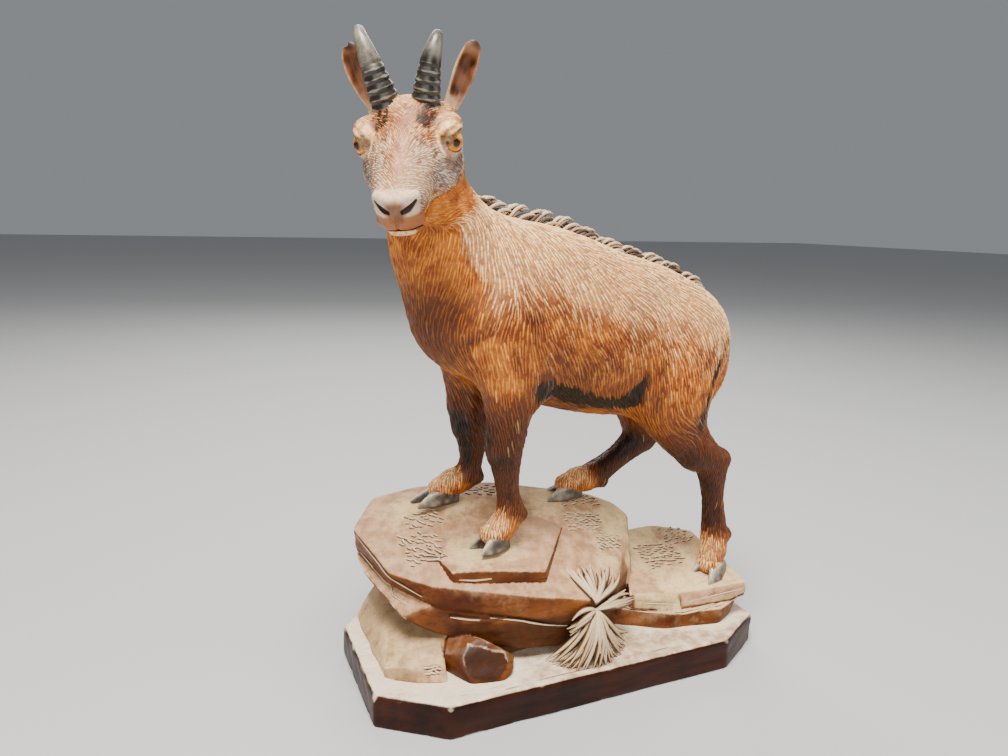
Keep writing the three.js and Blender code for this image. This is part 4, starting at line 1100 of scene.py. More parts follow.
def coat_masks(points, normals):
    """Where each stained and dusted part lies on the animal, and where shade is painted on the legs and
    along the flank crease.
    """
    x, y, z = points.T
    head = smooth(neck_side(points), 0, 5)
    drift = (value_noise(points, 9, 1) - 0.5) * 9 + (value_noise(points, 3, 2) - 0.5) * 4
    near = np.stack([x, MIDLINE - np.abs(y - MIDLINE), z], 1)
    below = 188 - 0.3 * (x - 1) - z
    neck = smooth(x + drift * 0.6, -30, -44)
    pale = smooth(below + drift, 54, 12)
    neck_pale = smooth(x + 0.5 * (z - 180) + drift, -61, -47) * smooth(z + drift, 140, 166)
    pale = pale * (1 - neck) + neck * np.maximum(neck_pale, 0.03)
    pale = np.maximum(pale, 0.55 * smooth(x, 30, 44) * smooth(below + drift, 66, 22))
    pale = np.maximum(pale, 0.2 * smooth(z, 112, 134) * smooth(x, -52, -40))
    pale *= 0.45 + 0.55 * smooth(normals[:, 2], -0.7, 0.1)
    band = path_distance(near, BELLY_BAND) + drift * 0.16
    dark = 0.95 * smooth(band, 6.2, 3.8) * smooth(x, -24, -18) * smooth(x, 37, 30)
    # Painted shade in the crease between the flank and the haunch.
    crease = path_distance(near, FLANK_CREASE) + drift * 0.1
    dark = np.maximum(dark, 0.55 * smooth(crease, 2.6, 0.6))
    rear = path_distance(near, REAR_LINE) + drift * 0.12 + 5 * smooth(y, 4, 12)
    dark = np.maximum(dark, 0.85 * smooth(rear, 4.2, 1.2))
    fore_leg, hind_leg = smooth(z, 124, 104) * (x < 10), smooth(z, 106, 88) * (x >= 10)
    leg = np.maximum(fore_leg, hind_leg)
    upper_leg = np.maximum(smooth(z, 152, 118) * (x < 10), smooth(z, 126, 98) * (x >= 10))
    # Painted shade on the legs, on faces turned forward and outward and on the inner faces, over a faint
    # dark tone.
    inward = np.sign(MIDLINE - y) * normals[:, 1]
    shaded = smooth(-0.75 * normals[:, 0] - 0.35 * inward + drift * 0.05, -0.35, 0.55)
    leg_dark = leg * (0.08 + 0.55 * shaded + 0.45 * smooth(inward, 0.1, 0.7))
    dark = np.maximum(dark, leg_dark * (0.6 + 0.6 * value_noise(points, 7, 5)))
    breast = smooth(x + drift, -42, -56) * smooth(z, 190, 152) * (1 - head)
    brown = np.maximum(0.75 * breast, 0.55 * upper_leg + 0.45 * leg)
    brown = np.maximum(brown, 0.5 * smooth(z + drift, 134, 118) * (np.abs(x - 6) < 34))
    ankle = near_any(points, ANKLES, 19)
    dark *= 1 - smooth(ankle, 0.02, 0.35)
    brown = brown * (1 - 0.7 * smooth(ankle, 0.1, 0.6))
    dark = np.maximum(dark, 0.4 * smooth(x + drift, 80, 92) * smooth(z, 120, 150))
    throat = smooth(x + 0.4 * (z - 190) + drift * 0.6, -50, -58) * smooth(z, 145, 172) * (1 - head)
    orange = 0.3 + 0.35 * value_noise(points, 13, 3)
    orange = np.maximum(orange, 0.95 * smooth(near_any(near, ELBOW_PATCH, 13), 0.1, 0.6))
    orange = np.maximum(orange, 0.7 * smooth(ankle, 0.05, 0.4))
    orange = np.maximum(orange, 0.85 * throat)
    orange = np.maximum(orange, 0.9 * smooth(z, 121, 114) * smooth(z, 98, 105) * (np.abs(x - 6) < 30))
    orange = np.maximum(orange, 0.7 * smooth(x, 36, 52) * smooth(below + drift, 26, 50) * smooth(z, 96, 112))
    tail = smooth(x + drift * 0.3, 79, 84) * smooth(z, 142, 130)
    orange = np.maximum(orange, tail)
    pale = pale * (1 - 0.75 * tail) * (1 - 0.7 * throat)
    spot = smooth(near_any(near, ELBOW_PATCH, 13), 0.15, 0.6)
    pale = np.maximum(pale, 0.16 * spot)
    brown = brown * (1 - 0.8 * spot)
    forward = smooth(0.7 * normals[:, 2] - 0.5 * normals[:, 0], -0.5, 0.4)
    pale = np.maximum(pale, 0.8 * smooth(ankle, 0.12, 0.7) * forward)
    pale *= 1 - 0.75 * smooth(dark, 0.2, 0.8)
    none = np.zeros(len(x))
    masks = {"pale": pale, "dark": dark, "orange": orange, "grey": none, "pink": none, "soft": none,
             "brown": brown}
    for key, value in face_stains(to_head(points), drift).items():
        masks[key] = np.clip(masks[key] * (1 - head) + value * head, 0, 1)
    return masks


def face_stains(local, drift):
    """Where the stains lie on the head, in the head's own frame."""
    forward, side, up = local[:, 0], np.abs(local[:, 1]), local[:, 2]
    slope = up + 0.28 * forward + drift * 0.12
    jaw = smooth(slope, -6.5, -10) * smooth(forward, 35, 29)
    eyes = folded(local)
    under_eye = smooth(near_any(eyes, [[9, 17, -3.8], [12.5, 15, -2.8], [6, 18, -4.8]], 5.5), 0, 0.8)
    cheek = smooth(side, 7.5, 12) * smooth(up, 3, -2) * smooth(slope, -10, -5)
    bridge = smooth(side + drift * 0.3, 6, 2) * smooth(forward, 2, 12)
    bridge = bridge * smooth(forward, 40, 35) * smooth(up, -3, 4)
    lips = smooth(forward, 27, 32) * smooth(up + drift * 0.1, -6.6, -8.4)
    horn_foot = near_any(local, [[4.5, 7.5, 12.2], [4.5, -9, 12.2], [8, 7.5, 11.5], [8, -9, 11.5]], 6)
    horn_foot = smooth(horn_foot, 0, 0.55) * smooth(value_noise(local * [0.3, 1.5, 0.3], 1.1, 9), 0.2, 0.5)
    # The front of the muzzle: the grey laid there is a painted grey-lavender highlight.
    nose = smooth(forward + drift * 0.2, 32, 39) * smooth(up, 2.5, -2) * (1 - lips)
    pale = 0.95 * (1 - 0.85 * jaw) * (1 - 0.3 * cheek) * (1 - 0.95 * lips)
    pale = pale * (1 - 0.6 * horn_foot) * (1 - 0.3 * nose)
    brow_top = smooth(up, 3, 9) * smooth(forward, 22, 12)
    pale *= (1 - 0.25 * brow_top * smooth(side, 13, 9)) * (0.75 + 0.45 * value_noise(local, 4, 6))
    streaks = smooth(value_noise(local * [0.35, 1.6, 1.6], 1.6, 7), 0.5, 0.75)
    pale *= 1 - 0.5 * streaks * smooth(forward, 33, 26)
    grey = np.maximum(0.75 * cheek, 0.4 * (1 - jaw) * (1 - lips) * (1 - brow_top))
    # Painted shade at the corners of the lips.
    lip_corner_shade = lips * (0.08 + 0.3 * smooth(side, 4, 7.5))
    return {
        "pale": pale * (1 - 0.3 * bridge) * (1 - 0.5 * under_eye),
        "dark": np.maximum(np.maximum(0.42 * under_eye, 0.75 * horn_foot), lip_corner_shade),
        "orange": np.maximum(0.25, np.maximum(0.9 * jaw, 0.5 * lips)),
        "grey": np.maximum(grey * (1 - 0.8 * bridge), 0.65 * nose),
        "pink": np.maximum(np.maximum(0.7 * bridge, 0.9 * lips), np.maximum(0.2 * nose, 0.35 * brow_top)),
        "soft": np.full(len(forward), 0.5),
        "brown": 0.45 * lips,
    }


def build_animal():
    body_points, body_faces = surface(body_distance, [-104, -62, 24], [104, 50, 222], BODY_CELL)
    body_points, body_normals = settle(body_distance, body_points, 2)
    head_points, head_faces = surface(fine_head_distance, [-110, -62, 176], [-34, 34, 244], HEAD_CELL)
    head_points, head_normals = settle(fine_head_distance, head_points)
    material = coat_material()
    for name, points, normals, faces in (
            ("chamois_body", body_points, body_normals, body_faces),
            ("chamois_head", head_points, head_normals, head_faces)):
        masks = coat_masks(points, normals)
        bald = bald_share(points)
        # The groove mask: painted shade on the ground between the hair strokes, none on the bare eyes, nose
        # and lips, which take the lighter crown tone.
        masks["groove"] = 0.85 * (1 - bald) + 0.3 * bald
        if name == "chamois_head":
            add_face_masks(points, masks)
        new_piece(name, thinned(new_mesh(name, points, faces, masks)), material)
    fine_points = with_middles(body_points, body_faces)
    inside_head = neck_side(head_points) > 0.3
    inside_body = neck_side(fine_points) < 0.3
    seeds = np.vstack([fine_points[inside_body], head_points[inside_head]])
    build_hair(plant_strokes(*settle(dressed_distance, seeds)), material)


def build_hair(strokes, material):
    """Raised strokes of hair over the whole animal."""
    chain = hair_lines(strokes)
    places = np.stack([p for p, _ in chain], 1)
    outs = np.stack([n for _, n in chain], 1)
    sizes = strokes[3][:, None]
    dip = np.array([-0.5, -0.14, -0.04, -0.14, -0.5]) * STROKE_THICKNESS
    flatter = 0.04 * smooth(neck_side(strokes[0]), -2, 8)[:, None]
    lines = places + outs * (dip * sizes - flatter)[..., None]
    tapers = np.array([0.3, 0.9, 1, 0.8, 0.12]) * sizes
    masks = coat_masks(strokes[0], strokes[1])
    for key, amount in (("pale", 0.13), ("orange", 0.12), ("dark", 0.06)):
        masks[key] = np.clip(masks[key] + chance.normal(0, amount, len(sizes)), 0, 1)
    side = neck_side(strokes[0])
    for name, chosen in (("hair_head", side > 0), ("hair_front", (side <= 0) & (strokes[0][:, 0] < -6)),
                         ("hair_rear", (side <= 0) & (strokes[0][:, 0] >= -6))):
        sweep_strands(name, lines[chosen], outs[chosen], tapers[chosen],
                      STROKE_WIDTH * 0.54, STROKE_THICKNESS, material,
                      {key: value[chosen] for key, value in masks.items()})


def add_face_masks(points, masks):
    """Dark nostrils and mouth, pale lower lip and lids, and the dark line of the upper lid."""
    local = to_head(points)
    mirrored = folded(local)
    forward, side, up = local.T
    nostril = smooth(limb(mirrored, NOSTRIL, steps=3), 0.3, 0.05)
    line = MOUTH_HEIGHT - MOUTH_DROP * side ** 2
    front = smooth(forward, 29, 32)
    mouth = smooth(np.abs(up - line), 0.75, 0.4) * front
    lower_lip = smooth(line - up, 0.6, 0.9) * smooth(line - up, 3.0, 2.2) * front
    lower_lip = lower_lip * smooth(np.abs(side), 5.8, 4.2)
    wing = smooth(limb(mirrored, NOSE_WING, steps=3), 0.9, 0.3) * (1 - nostril)
    pad = smooth(np.abs(side), 4.4, 1.8) * smooth(up, -11.5, -9)
    pad = pad * smooth(up, -0.5, -3.5) * smooth(forward, 38, 41)
    from_eye = np.linalg.norm(mirrored - EYE, axis=1)
    height = -((mirrored - EYE) @ eye_axes()[2])
    lid = smooth(from_eye, 6.1, 5.4)
    hollow = np.maximum(nostril, mouth)
    masks["dark"] = np.maximum(masks["dark"] * (1 - lower_lip), np.maximum(hollow, 0.55 * pad))
    masks["dark"] = np.maximum(masks["dark"], lid * smooth(from_eye, 4.9, 4.3) * 0.9)
    masks["dark"] = np.maximum(masks["dark"], 0.95 * lid * smooth(height, 1.0, 2.2))
    masks["pale"] = np.clip(np.maximum(masks["pale"], np.maximum(0.9 * lower_lip, 0.75 * wing)), 0, 1)
    lower_lid = 0.55 * lid * smooth(height, 1.5, 0.5)
    masks["pale"] = np.maximum(masks["pale"] * (1 - hollow) * (1 - 0.6 * lid), lower_lid)
    masks["pale"] = masks["pale"] * (1 - 0.8 * pad) * (1 - hollow)
    # Painted shade in brown in the crease between the brow and the upper lid.
    crease = smooth(limb(mirrored, BROW_CREASE, steps=2), 0.3, -0.2)
    masks["brown"] = np.maximum(masks["brown"], 0.5 * crease)
    masks["pale"] = masks["pale"] * (1 - 0.5 * crease)
    # Lower lip, nose wings and lids take the lighter crown tone and no painted groove shade.
    masks["groove"] = np.where(np.maximum(lower_lip, np.maximum(wing, lid)) > 0.4, 0.1, masks["groove"])


def build_horns():
    # The last two colours are the horn's grey upper part with its painted sheen.
    material = horn_material("black horn stain", "0E0A05", "30281C", "5C5546", "978E7C")
    rows, turns = 150, 56
    all_points, all_faces, grooves, pales = [], [], [], []
    for hand, path in ((1, HORN_LEFT), (-1, HORN_RIGHT)):
        line = curve_through(path, 40)
        lengths = np.concatenate([[0], np.cumsum(np.linalg.norm(np.diff(line, axis=0), axis=1))])
        t = np.linspace(0, 1, rows)
        centres = np.stack([np.interp(t * lengths[-1], lengths, line[:, k]) for k in range(3)], 1)
        tangents = unit(np.gradient(centres, axis=0))
        across = unit(np.cross([1, 0, 0], tangents))
        front = np.cross(tangents, across)
        phase = t / HORN_RINGED * (HORN_RINGS + 0.5)
        wave = phase - np.floor(phase)
        ringed = smooth(t, HORN_RINGED + 0.02, HORN_RINGED - 0.04)
        ring_depth = ringed * np.clip(np.abs(wave - 0.42) / 0.58, 0, 1) ** 1.3
        radius = (HORN_BASE + (HORN_TIP - HORN_BASE) * t ** 1.5)
        cap = np.sqrt(np.clip(1 - (np.clip(t - 0.955, 0, 1) / 0.045) ** 2, 0.002, 1))
        start = sum(len(p) for p in all_points)
        angle = np.linspace(0, 2 * np.pi, turns, endpoint=False)
        wobble = 0.12 * np.sin(angle[None] * 3 + phase[:, None] * 2.1)
        wobble = wobble + 0.1 * np.sin(angle[None] * 7 + 4 * phase[:, None])
        depth = np.clip(ring_depth[:, None] + ringed[:, None] * wobble * 0.5, 0, 1)
        r = radius[:, None] * cap[:, None] * (1.02 - 0.13 * depth)
        points = (centres[:, None] + across[:, None] * (r * np.cos(angle))[..., None]
                  + front[:, None] * (r * np.sin(angle))[..., None])
        all_points.append(from_head(points.reshape(-1, 3)))
        grooves.append(np.where(ringed[:, None] > 0.5, depth, 0.6).ravel())
        start_of_pale = HORN_RINGED if hand > 0 else HORN_RINGED - 0.12
        # The pale mask: the grey upper part, brighter on one side as a painted sheen, and the pale tips.
        pale = smooth(t, start_of_pale, start_of_pale + 0.12)[:, None]
        pale = pale * (0.55 + 0.45 * np.cos(angle - 1.9))[None] * (0.7 if hand > 0 else 1.1)
        pales.append(np.clip(np.maximum(pale, smooth(t, 0.93, 0.99)[:, None]), 0, 1).ravel())
        all_faces.append(tube_faces(rows, turns, start))
    masks = {"groove": np.concatenate(grooves), "pale": np.concatenate(pales)}
    mesh = new_mesh("horns", np.vstack(all_points), np.vstack(all_faces), masks)
    new_piece("horns", outward(mesh), material)


def outward(mesh):
    """The mesh with its faces turned to point outwards."""
    work = bmesh.new()
    work.from_mesh(mesh)
    bmesh.ops.recalc_face_normals(work, faces=work.faces)
    work.to_mesh(mesh)
    work.free()
    mesh.shade_smooth()
    return mesh


def tube_faces(rows, turns, start):
    """The sides and the two end caps of a tube whose points are given row by row."""
    i, j = np.meshgrid(np.arange(rows - 1), np.arange(turns), indexing="ij")
    near, far = i * turns + j, i * turns + (j + 1) % turns
    sides = np.stack([near, far, far + turns, near + turns], -1).reshape(-1, 4)
    caps = []
    for row in (0, rows - 1):
        ring = row * turns + np.arange(turns)
        for k in range(turns // 2 - 1):
            caps.append([ring[k], ring[k + 1], ring[turns - k - 2], ring[turns - k - 1]])
    return np.vstack([sides, caps]) + start


def build_ears(material):
    rows, turns = 80, 64
    all_points, all_faces = [], []
    masks = {key: [] for key in ("pale", "dark", "orange", "grey", "pink", "brown", "groove")}
    for hand, path in ((1, EAR_LEFT), (-1, EAR_RIGHT)):
        line = curve_through(path, 30)
        t = np.linspace(0, 1, rows)
        spread = np.linspace(0, 1, len(line))
        centres = np.stack([np.interp(t, spread, line[:, k]) for k in range(3)], 1)
        tangents = unit(np.gradient(centres, axis=0))
        across = unit(np.cross([1, 0, 0], tangents))
        front = np.cross(tangents, across)
        tip_round = np.sqrt(np.clip(1 - (np.clip(t - 0.9, 0, 1) / 0.101) ** 2, 0.001, 1))
        wide = EAR_WIDTH * (0.56 + 1.3 * t - 1.3 * t ** 2.6) * tip_round
        deep = 1.75 * (1.3 - 0.8 * t) * tip_round
        angle = np.linspace(0, 2 * np.pi, turns, endpoint=False)
        hollow_along = smooth(t, 0.12, 0.3) * smooth(t, 0.98, 0.72)
        s = np.sin(angle)[None]
        inner = (s > 0) * smooth(np.abs(np.cos(angle)), 0.97, 0.7)[None] * hollow_along[:, None]
        cup = 2.3 * (1 - np.cos(angle)[None] ** 2) * hollow_along[:, None]
        height = deep[:, None] * s - inner * cup
        height = height + 0.9 * np.cos(angle)[None] ** 2 * hollow_along[:, None]
        ripple = 0.1 * np.sin(angle * 9)[None] * inner * smooth(t, 0.8, 0.6)[:, None]
        points = (centres[:, None] + across[:, None] * (wide[:, None] * np.cos(angle))[..., None]
                  + front[:, None] * (height + ripple)[..., None])
        if hand < 0:
            notch = smooth(t, 0.93, 0.98)[:, None] * smooth(np.cos(angle), -0.2, 0.7)[None]
            points -= tangents[:, None] * (1.8 * notch)[..., None]
        start = sum(len(p) for p in all_points)
        all_points.append(from_head(points.reshape(-1, 3)))
        all_faces.append(tube_faces(rows, turns, start))
        rim = smooth(np.abs(np.cos(angle)), 0.72, 0.95)[None] * np.ones((rows, 1))
        tip = smooth(t, 0.8, 0.97)[:, None]
        root = smooth(t, 0.32, 0.1)[:, None]
        patches = value_noise(from_head(points.reshape(-1, 3)), 3.2, 40).reshape(rows, turns)
        near_horn = smooth(np.cos(angle), 0.45, 0.9)[None] * (0.55 if hand > 0 else 0.15)
        near_horn = near_horn * smooth(t, 0.95, 0.75)[:, None]
        masks["pale"].append(np.clip(0.34 + near_horn + 0.3 * root - 0.32 * inner - 0.3 * tip, 0, 1).ravel())
        stained = (0.4 * inner + 0.16) * smooth(patches, 0.3, 0.8)
        masks["dark"].append(np.clip(stained + 0.6 * tip, 0, 1).ravel())
        masks["orange"].append(np.clip(0.02 + 0.45 * (patches - 0.3) + 0.4 * root, 0, 1).ravel())
        masks["brown"].append(np.clip(0.4 + 1.6 * (patches - 0.5) + 0.1 * inner, 0, 1).ravel())
        masks["grey"].append((0.32 + 0.25 * tip + 0.3 * (0.5 - patches)).ravel())
        masks["pink"].append((0.15 * rim).ravel())
        # Through the groove mask, more painted shade in the hollow of the ear and less on its rim.
        masks["groove"].append((0.35 + 0.3 * inner - 0.3 * rim).ravel())
    mesh = new_mesh("ears", np.vstack(all_points), np.vstack(all_faces),
                    {key: np.concatenate(values) for key, values in masks.items()})
    new_piece("ears", outward(mesh), material)


def swept_strands_tree():
    """Sweeps a diamond along guide lines: its crown faces each line's "out", and "taper" scales it."""
    tree = bpy.data.node_groups.new("swept strands", "GeometryNodeTree")
    tree.interface.new_socket("Guides", in_out="INPUT", socket_type="NodeSocketGeometry")
    for title in ("Half Width", "Thickness"):
        tree.interface.new_socket(title, in_out="INPUT", socket_type="NodeSocketFloat").default_value = 0.001
    tree.interface.new_socket("Material", in_out="INPUT", socket_type="NodeSocketMaterial")
    tree.interface.new_socket("Strands", in_out="OUTPUT", socket_type="NodeSocketGeometry")
    add, join = tree.nodes.new, tree.links.new
    into, result = add("NodeGroupInput"), add("NodeGroupOutput")

    def named(name, kind):
        node = add("GeometryNodeInputNamedAttribute")
        node.data_type = kind
        node.inputs["Name"].default_value = name
        return node.outputs["Attribute"]

    lines = add("GeometryNodeMeshToCurve")
    join(into.outputs["Guides"], lines.inputs["Mesh"])
    facing = add("GeometryNodeSetCurveNormal")
    facing.mode = "FREE"
    join(lines.outputs["Curve"], facing.inputs["Curve"])
    join(named("out", "FLOAT_VECTOR"), facing.inputs["Normal"])
    profile = add("GeometryNodeCurvePrimitiveQuadrilateral")
    profile.mode = "KITE"
    join(into.outputs["Thickness"], profile.inputs["Width"])
    for title in ("Bottom Height", "Top Height"):
        join(into.outputs["Half Width"], profile.inputs[title])
    place, parts = add("GeometryNodeInputPosition"), add("ShaderNodeSeparateXYZ")
    join(place.outputs["Position"], parts.inputs[0])
    size, side = add("ShaderNodeMath"), add("FunctionNodeCompare")
    size.operation = "ABSOLUTE"
    side.operation = "GREATER_THAN"
    side.inputs["B"].default_value = 1e-6
    join(parts.outputs["Y"], size.inputs[0])
    join(size.outputs[0], side.inputs["A"])
    mark = add("GeometryNodeStoreNamedAttribute")
    mark.data_type = "FLOAT"
    mark.domain = "POINT"
    mark.inputs["Name"].default_value = "groove"
    join(profile.outputs["Curve"], mark.inputs["Geometry"])
    join(side.outputs["Result"], mark.inputs["Value"])
    sweep = add("GeometryNodeCurveToMesh")
    sweep.inputs["Fill Caps"].default_value = True
    join(facing.outputs["Curve"], sweep.inputs["Curve"])
    join(mark.outputs["Geometry"], sweep.inputs["Profile Curve"])
    join(named("taper", "FLOAT"), sweep.inputs["Scale"])
    real, finish = add("GeometryNodeRealizeInstances"), add("GeometryNodeSetMaterial")
    join(sweep.outputs["Mesh"], real.inputs["Geometry"])
    join(real.outputs["Geometry"], finish.inputs["Geometry"])
    join(into.outputs["Material"], finish.inputs["Material"])
    join(finish.outputs["Geometry"], result.inputs["Strands"])
    return tree


def sweep_strands(name, lines, outs, tapers, half_width, thickness, material, masks=None):
    """A piece of strands swept along lines of equal length; masks give one value for each strand."""
    lines = np.asarray(lines, float)
    count, steps = lines.shape[:2]
    guide = bpy.data.meshes.new(name + " guides")
    first = (np.arange(count) * steps)[:, None] + np.arange(steps - 1)
    guide.vertices.add(count * steps)
    guide.vertices.foreach_set("co", (lines * MM).astype(np.float32).ravel())
    guide.edges.add(first.size)
    guide.edges.foreach_set("vertices", np.stack([first, first + 1], -1).astype(np.int32).ravel())
    guide.attributes.new("out", "FLOAT_VECTOR", "POINT").data.foreach_set(
        "vector", np.broadcast_to(outs, lines.shape).astype(np.float32).ravel())
    values = {"taper": np.broadcast_to(tapers, (count, steps))}
    for key, value in (masks or {}).items():
        values[key] = np.broadcast_to(np.reshape(value, (count, -1)), (count, steps))
    for key, value in values.items():
        layer = guide.attributes.new(key, "FLOAT", "POINT")
        layer.data.foreach_set("value", value.astype(np.float32).ravel())
    carrier = bpy.data.objects.new(name + " guides", guide)
    bpy.context.scene.collection.objects.link(carrier)
    modifier = carrier.modifiers.new("strands", "NODES")
    modifier.node_group = STRANDS
    settings = {"Half Width": half_width * MM, "Thickness": thickness * MM, "Material": material}
    for item in STRANDS.interface.items_tree:
        if item.in_out == "INPUT" and item.name in settings:
            modifier[item.identifier] = settings[item.name]
    mesh = bpy.data.meshes.new_from_object(carrier.evaluated_get(bpy.context.evaluated_depsgraph_get()))
    bpy.data.objects.remove(carrier)
    mesh.name = name
    if signed_volume(mesh) < 0:
        mesh.flip_normals()
    for key in ("taper", "out"):
        mesh.attributes.remove(mesh.attributes[key])
    mesh.shade_smooth()
    return new_piece(name, mesh, material)


def signed_volume(mesh):
    mesh.calc_loop_triangles()
    corners = np.zeros(len(mesh.loop_triangles) * 3, np.int32)
    mesh.loop_triangles.foreach_get("vertices", corners)
    a, b, c = points_of(mesh)[corners.reshape(-1, 3)].transpose(1, 0, 2)
    return (a * np.cross(b, c)).sum()


def back_height(x):
    return 188 - 0.3 * (x - 1) - 0.0008 * (x - 1) ** 2


def build_crest():
    """Leaning strands along the back, in scallops."""
    steps = np.linspace(0, 1, 7)
    along = np.linspace(-52, 94, 100)
    back, _ = settle(dressed_distance, np.stack([along, np.full(100, 4.0), back_height(along)], 1), 9)
    order = np.argsort(back[:, 0])
    lines, outs, pales, darks = [], [], [], []
    total = 96
    for index in range(total):
        t = index / (total - 1)
        x = CREST_START + (CREST_END - CREST_START) * t
        phase = t * CREST_SCALLOPS % 1
        height = 2.6 + 4.6 * math.sin(math.pi * min(1, phase * 1.05)) ** 0.7
        height *= 0.72 + 0.28 * math.sin(math.pi * min(t * 1.5 + 0.2, 1))
        gap = index % 3 == 2
        height *= 0.72 if gap else 1
        lean = 8 + 2.5 * phase
        y = 4 + 0.9 * math.sin(index * 2.4)
        px = x + lean * steps
        rise = -1.8 + (height + 1.8) * (1 - (1 - steps) ** 1.8) - 1.4 * steps ** 3
        base = np.interp(px, back[order, 0], back[order, 2])
        lines.append(np.stack([px, y + 0.5 * math.sin(index * 1.7) * steps, base + rise], 1))
        tilt = math.sin(index * 2.4)
        outs.append(unit(np.array([0, 1.0 if tilt > 0 else -1.0, 0.35])))
        pales.append(-0.2 if gap else 0.6 - 0.3 * math.cos(2 * math.pi * phase))
        darks.append(0.9 if gap else 0.1 + 0.4 * phase)
    tapers = np.array([0.9, 1.05, 1.1, 1.1, 1, 0.8, 0.25])
    sweep_strands("crest", lines, np.array(outs)[:, None], tapers, 0.85, 2.4, crest_material(),
                  {"pale": np.array(pales), "dark": np.array(darks)})


# Grass tuft: each blade's end, and how far it bows sideways
TUFT_KNOT = np.array([3.0, -36.5, 33.5])
LOW_BLADES = [[-17, -36, 14, -2], [-16, -39, 14, -2.5], [-14.5, -41.5, 14, -2], [-12, -43.5, 14, -2],
              [-9, -45, 14, -1.5], [-5.5, -46, 14, -1], [-2, -46.5, 14, -0.5], [1.5, -46.5, 14, 0.5],
              [5, -46, 14, 1.5], [8.5, -45, 14, 2], [12, -43, 14.2, 2.5], [15, -40.5, 14.5, 3],
              [18, -37.5, 15.5, 3],
              [20, -34.5, 18, 3]]
HIGH_BLADES = [[-2.5, -14, 48.5, -1], [0.5, -19, 46.8, -1], [4, -22, 46, 0.5], [9, -17, 46.5, 0.5],
               [14, -20, 43.5, 1], [21, -13, 43.5, 1], [22, -22, 39.5, 1.5]]
SIDE_BLADES = [[24.5, -27, 33, 1], [27, -26.5, 30.5, 0.5], [27.5, -28, 28.5, 0], [26, -29.5, 27, -0.5],
               [-8, -38.5, 30.5, 0.5], [-9.5, -38, 28, 0], [-8.5, -37.5, 25.5, 0]]


def build_tuft():
    """Blades of grass bound at a knot, below it, above it and to its sides."""
    steps = np.linspace(0, 1, 10)
    lines, outs, widths, pales = [], [], [], []
    for x, y, z, bow in LOW_BLADES + HIGH_BLADES + SIDE_BLADES:
        end = np.array([x, y, z], float)
        upward = z > 34
        root = TUFT_KNOT + (np.array([0, -0.5, 3.5]) if upward else np.zeros(3))
        out = unit(np.array([0, -0.45, 0.9]) if upward else np.array([0, -0.8, 0.6]))
        for shift in (-0.8, 0.8):
            tip = end + chance.normal(0, 0.7, 3) * [1, 0.4, 0.4]
            along = tip - root
            sideways = unit(np.cross(along, out))
            bend = bow + chance.normal(0, 0.9)
            lift = (1.6 if upward else 2.8) * np.sin(np.pi * steps ** 0.75)
            line = root + steps[:, None] * along + out * lift[:, None]
            line += sideways * (bend * np.sin(np.pi * steps ** 1.2) + shift * 1.3 * steps ** 0.6)[:, None]
            lines.append(line)
            outs.append(np.broadcast_to(out, line.shape))
            widths.append(0.6 + 0.75 * np.sin(np.pi * np.clip(steps * 0.85 + 0.1, 0, 1)) - 0.45 * steps ** 4)
            pales.append(chance.uniform(0.35, 0.9))
    sweep_strands("grass_tuft", lines, np.array(outs), np.array(widths), 1.0, 1.9, grass_material(),
                  {"pale": np.array(pales)})


def ground_distance(points):
    return np.minimum(rock_distance(points), plinth_distance(points))


def build_stubble(material):
    """Short pale strokes of grass on the tops of the rocks and on the plinth."""
    lines, outs = [], []
    steps = np.array([-1, -0.4, 0.3, 1])
    spots, turns, lengths = [], [], []
    for middle, reach, number, slant in STROKE_PATCHES:
        rows = max(3, int(math.sqrt(number) * 0.9))
        for k in range(number):
            row, column = k // rows, k % rows
            u = (column + 0.5 + 0.5 * (row % 2)) / rows * 2 - 1 + chance.normal(0, 0.06)
            v = (row + 0.5) / (number / rows) * 2 - 1 + chance.normal(0, 0.08)
            spots.append([middle[0] + u * reach[0], middle[1] + v * reach[1], middle[2] + 3])
            turns.append(math.radians(slant + chance.normal(0, 14)))
            lengths.append(chance.uniform(1.5, 2.4))
    spots, turns, lengths = np.array(spots), np.array(turns), np.array(lengths)
    way = np.stack([np.cos(turns), np.sin(turns), np.zeros(len(turns))], 1)
    side = np.stack([-way[:, 1], way[:, 0], way[:, 2]], 1)
    for step in steps:
        p = spots + way * (step * lengths)[:, None] + side * (0.5 * step ** 2 * lengths * 0.5)[:, None]
        p, n = settle(ground_distance, p, 14)
        lines.append(p + n * (0.12 - 0.4 * step ** 2))
        outs.append(n)
    lines, outs = np.stack(lines, 1), np.stack(outs, 1)
    sweep_strands("stubble", lines, outs, np.array([0.3, 1, 1, 0.25]), 0.7, 1.3, material,
                  {"pale": chance.uniform(0.75, 1, len(lines))})


def build_edges(material):
    """Pale worn lips along the beds of the rock."""
    steps = 16
    lines, outs = [], []
    for path, _, _, lift in CRACKS:
        if lift == 0:
            continue
        path = np.array(path, float)
        lengths = np.concatenate([[0], np.cumsum(np.linalg.norm(np.diff(path, axis=0), axis=1))])
        t = np.linspace(0, lengths[-1], steps)
        p = np.stack([np.interp(t, lengths, path[:, k]) for k in range(3)], 1)
        p, n = settle(ground_distance, p, 4)
        p = p - [0, 0, lift] + n * 0.1
        p, n = settle(ground_distance, p, 3)
        lines.append(p - n * 0.15)
        outs.append(n)
    wobble = 0.75 + 0.5 * value_noise(np.array(lines).reshape(-1, 3), 4, 30).reshape(len(lines), steps)
    tapers = np.sin(np.pi * np.linspace(0.04, 0.96, steps)) ** 0.4 * wobble
    sweep_strands("worn_edges", lines, np.array(outs), tapers, 0.6, 0.9, material,
                  {"pale": np.full(len(lines), 0.9)})


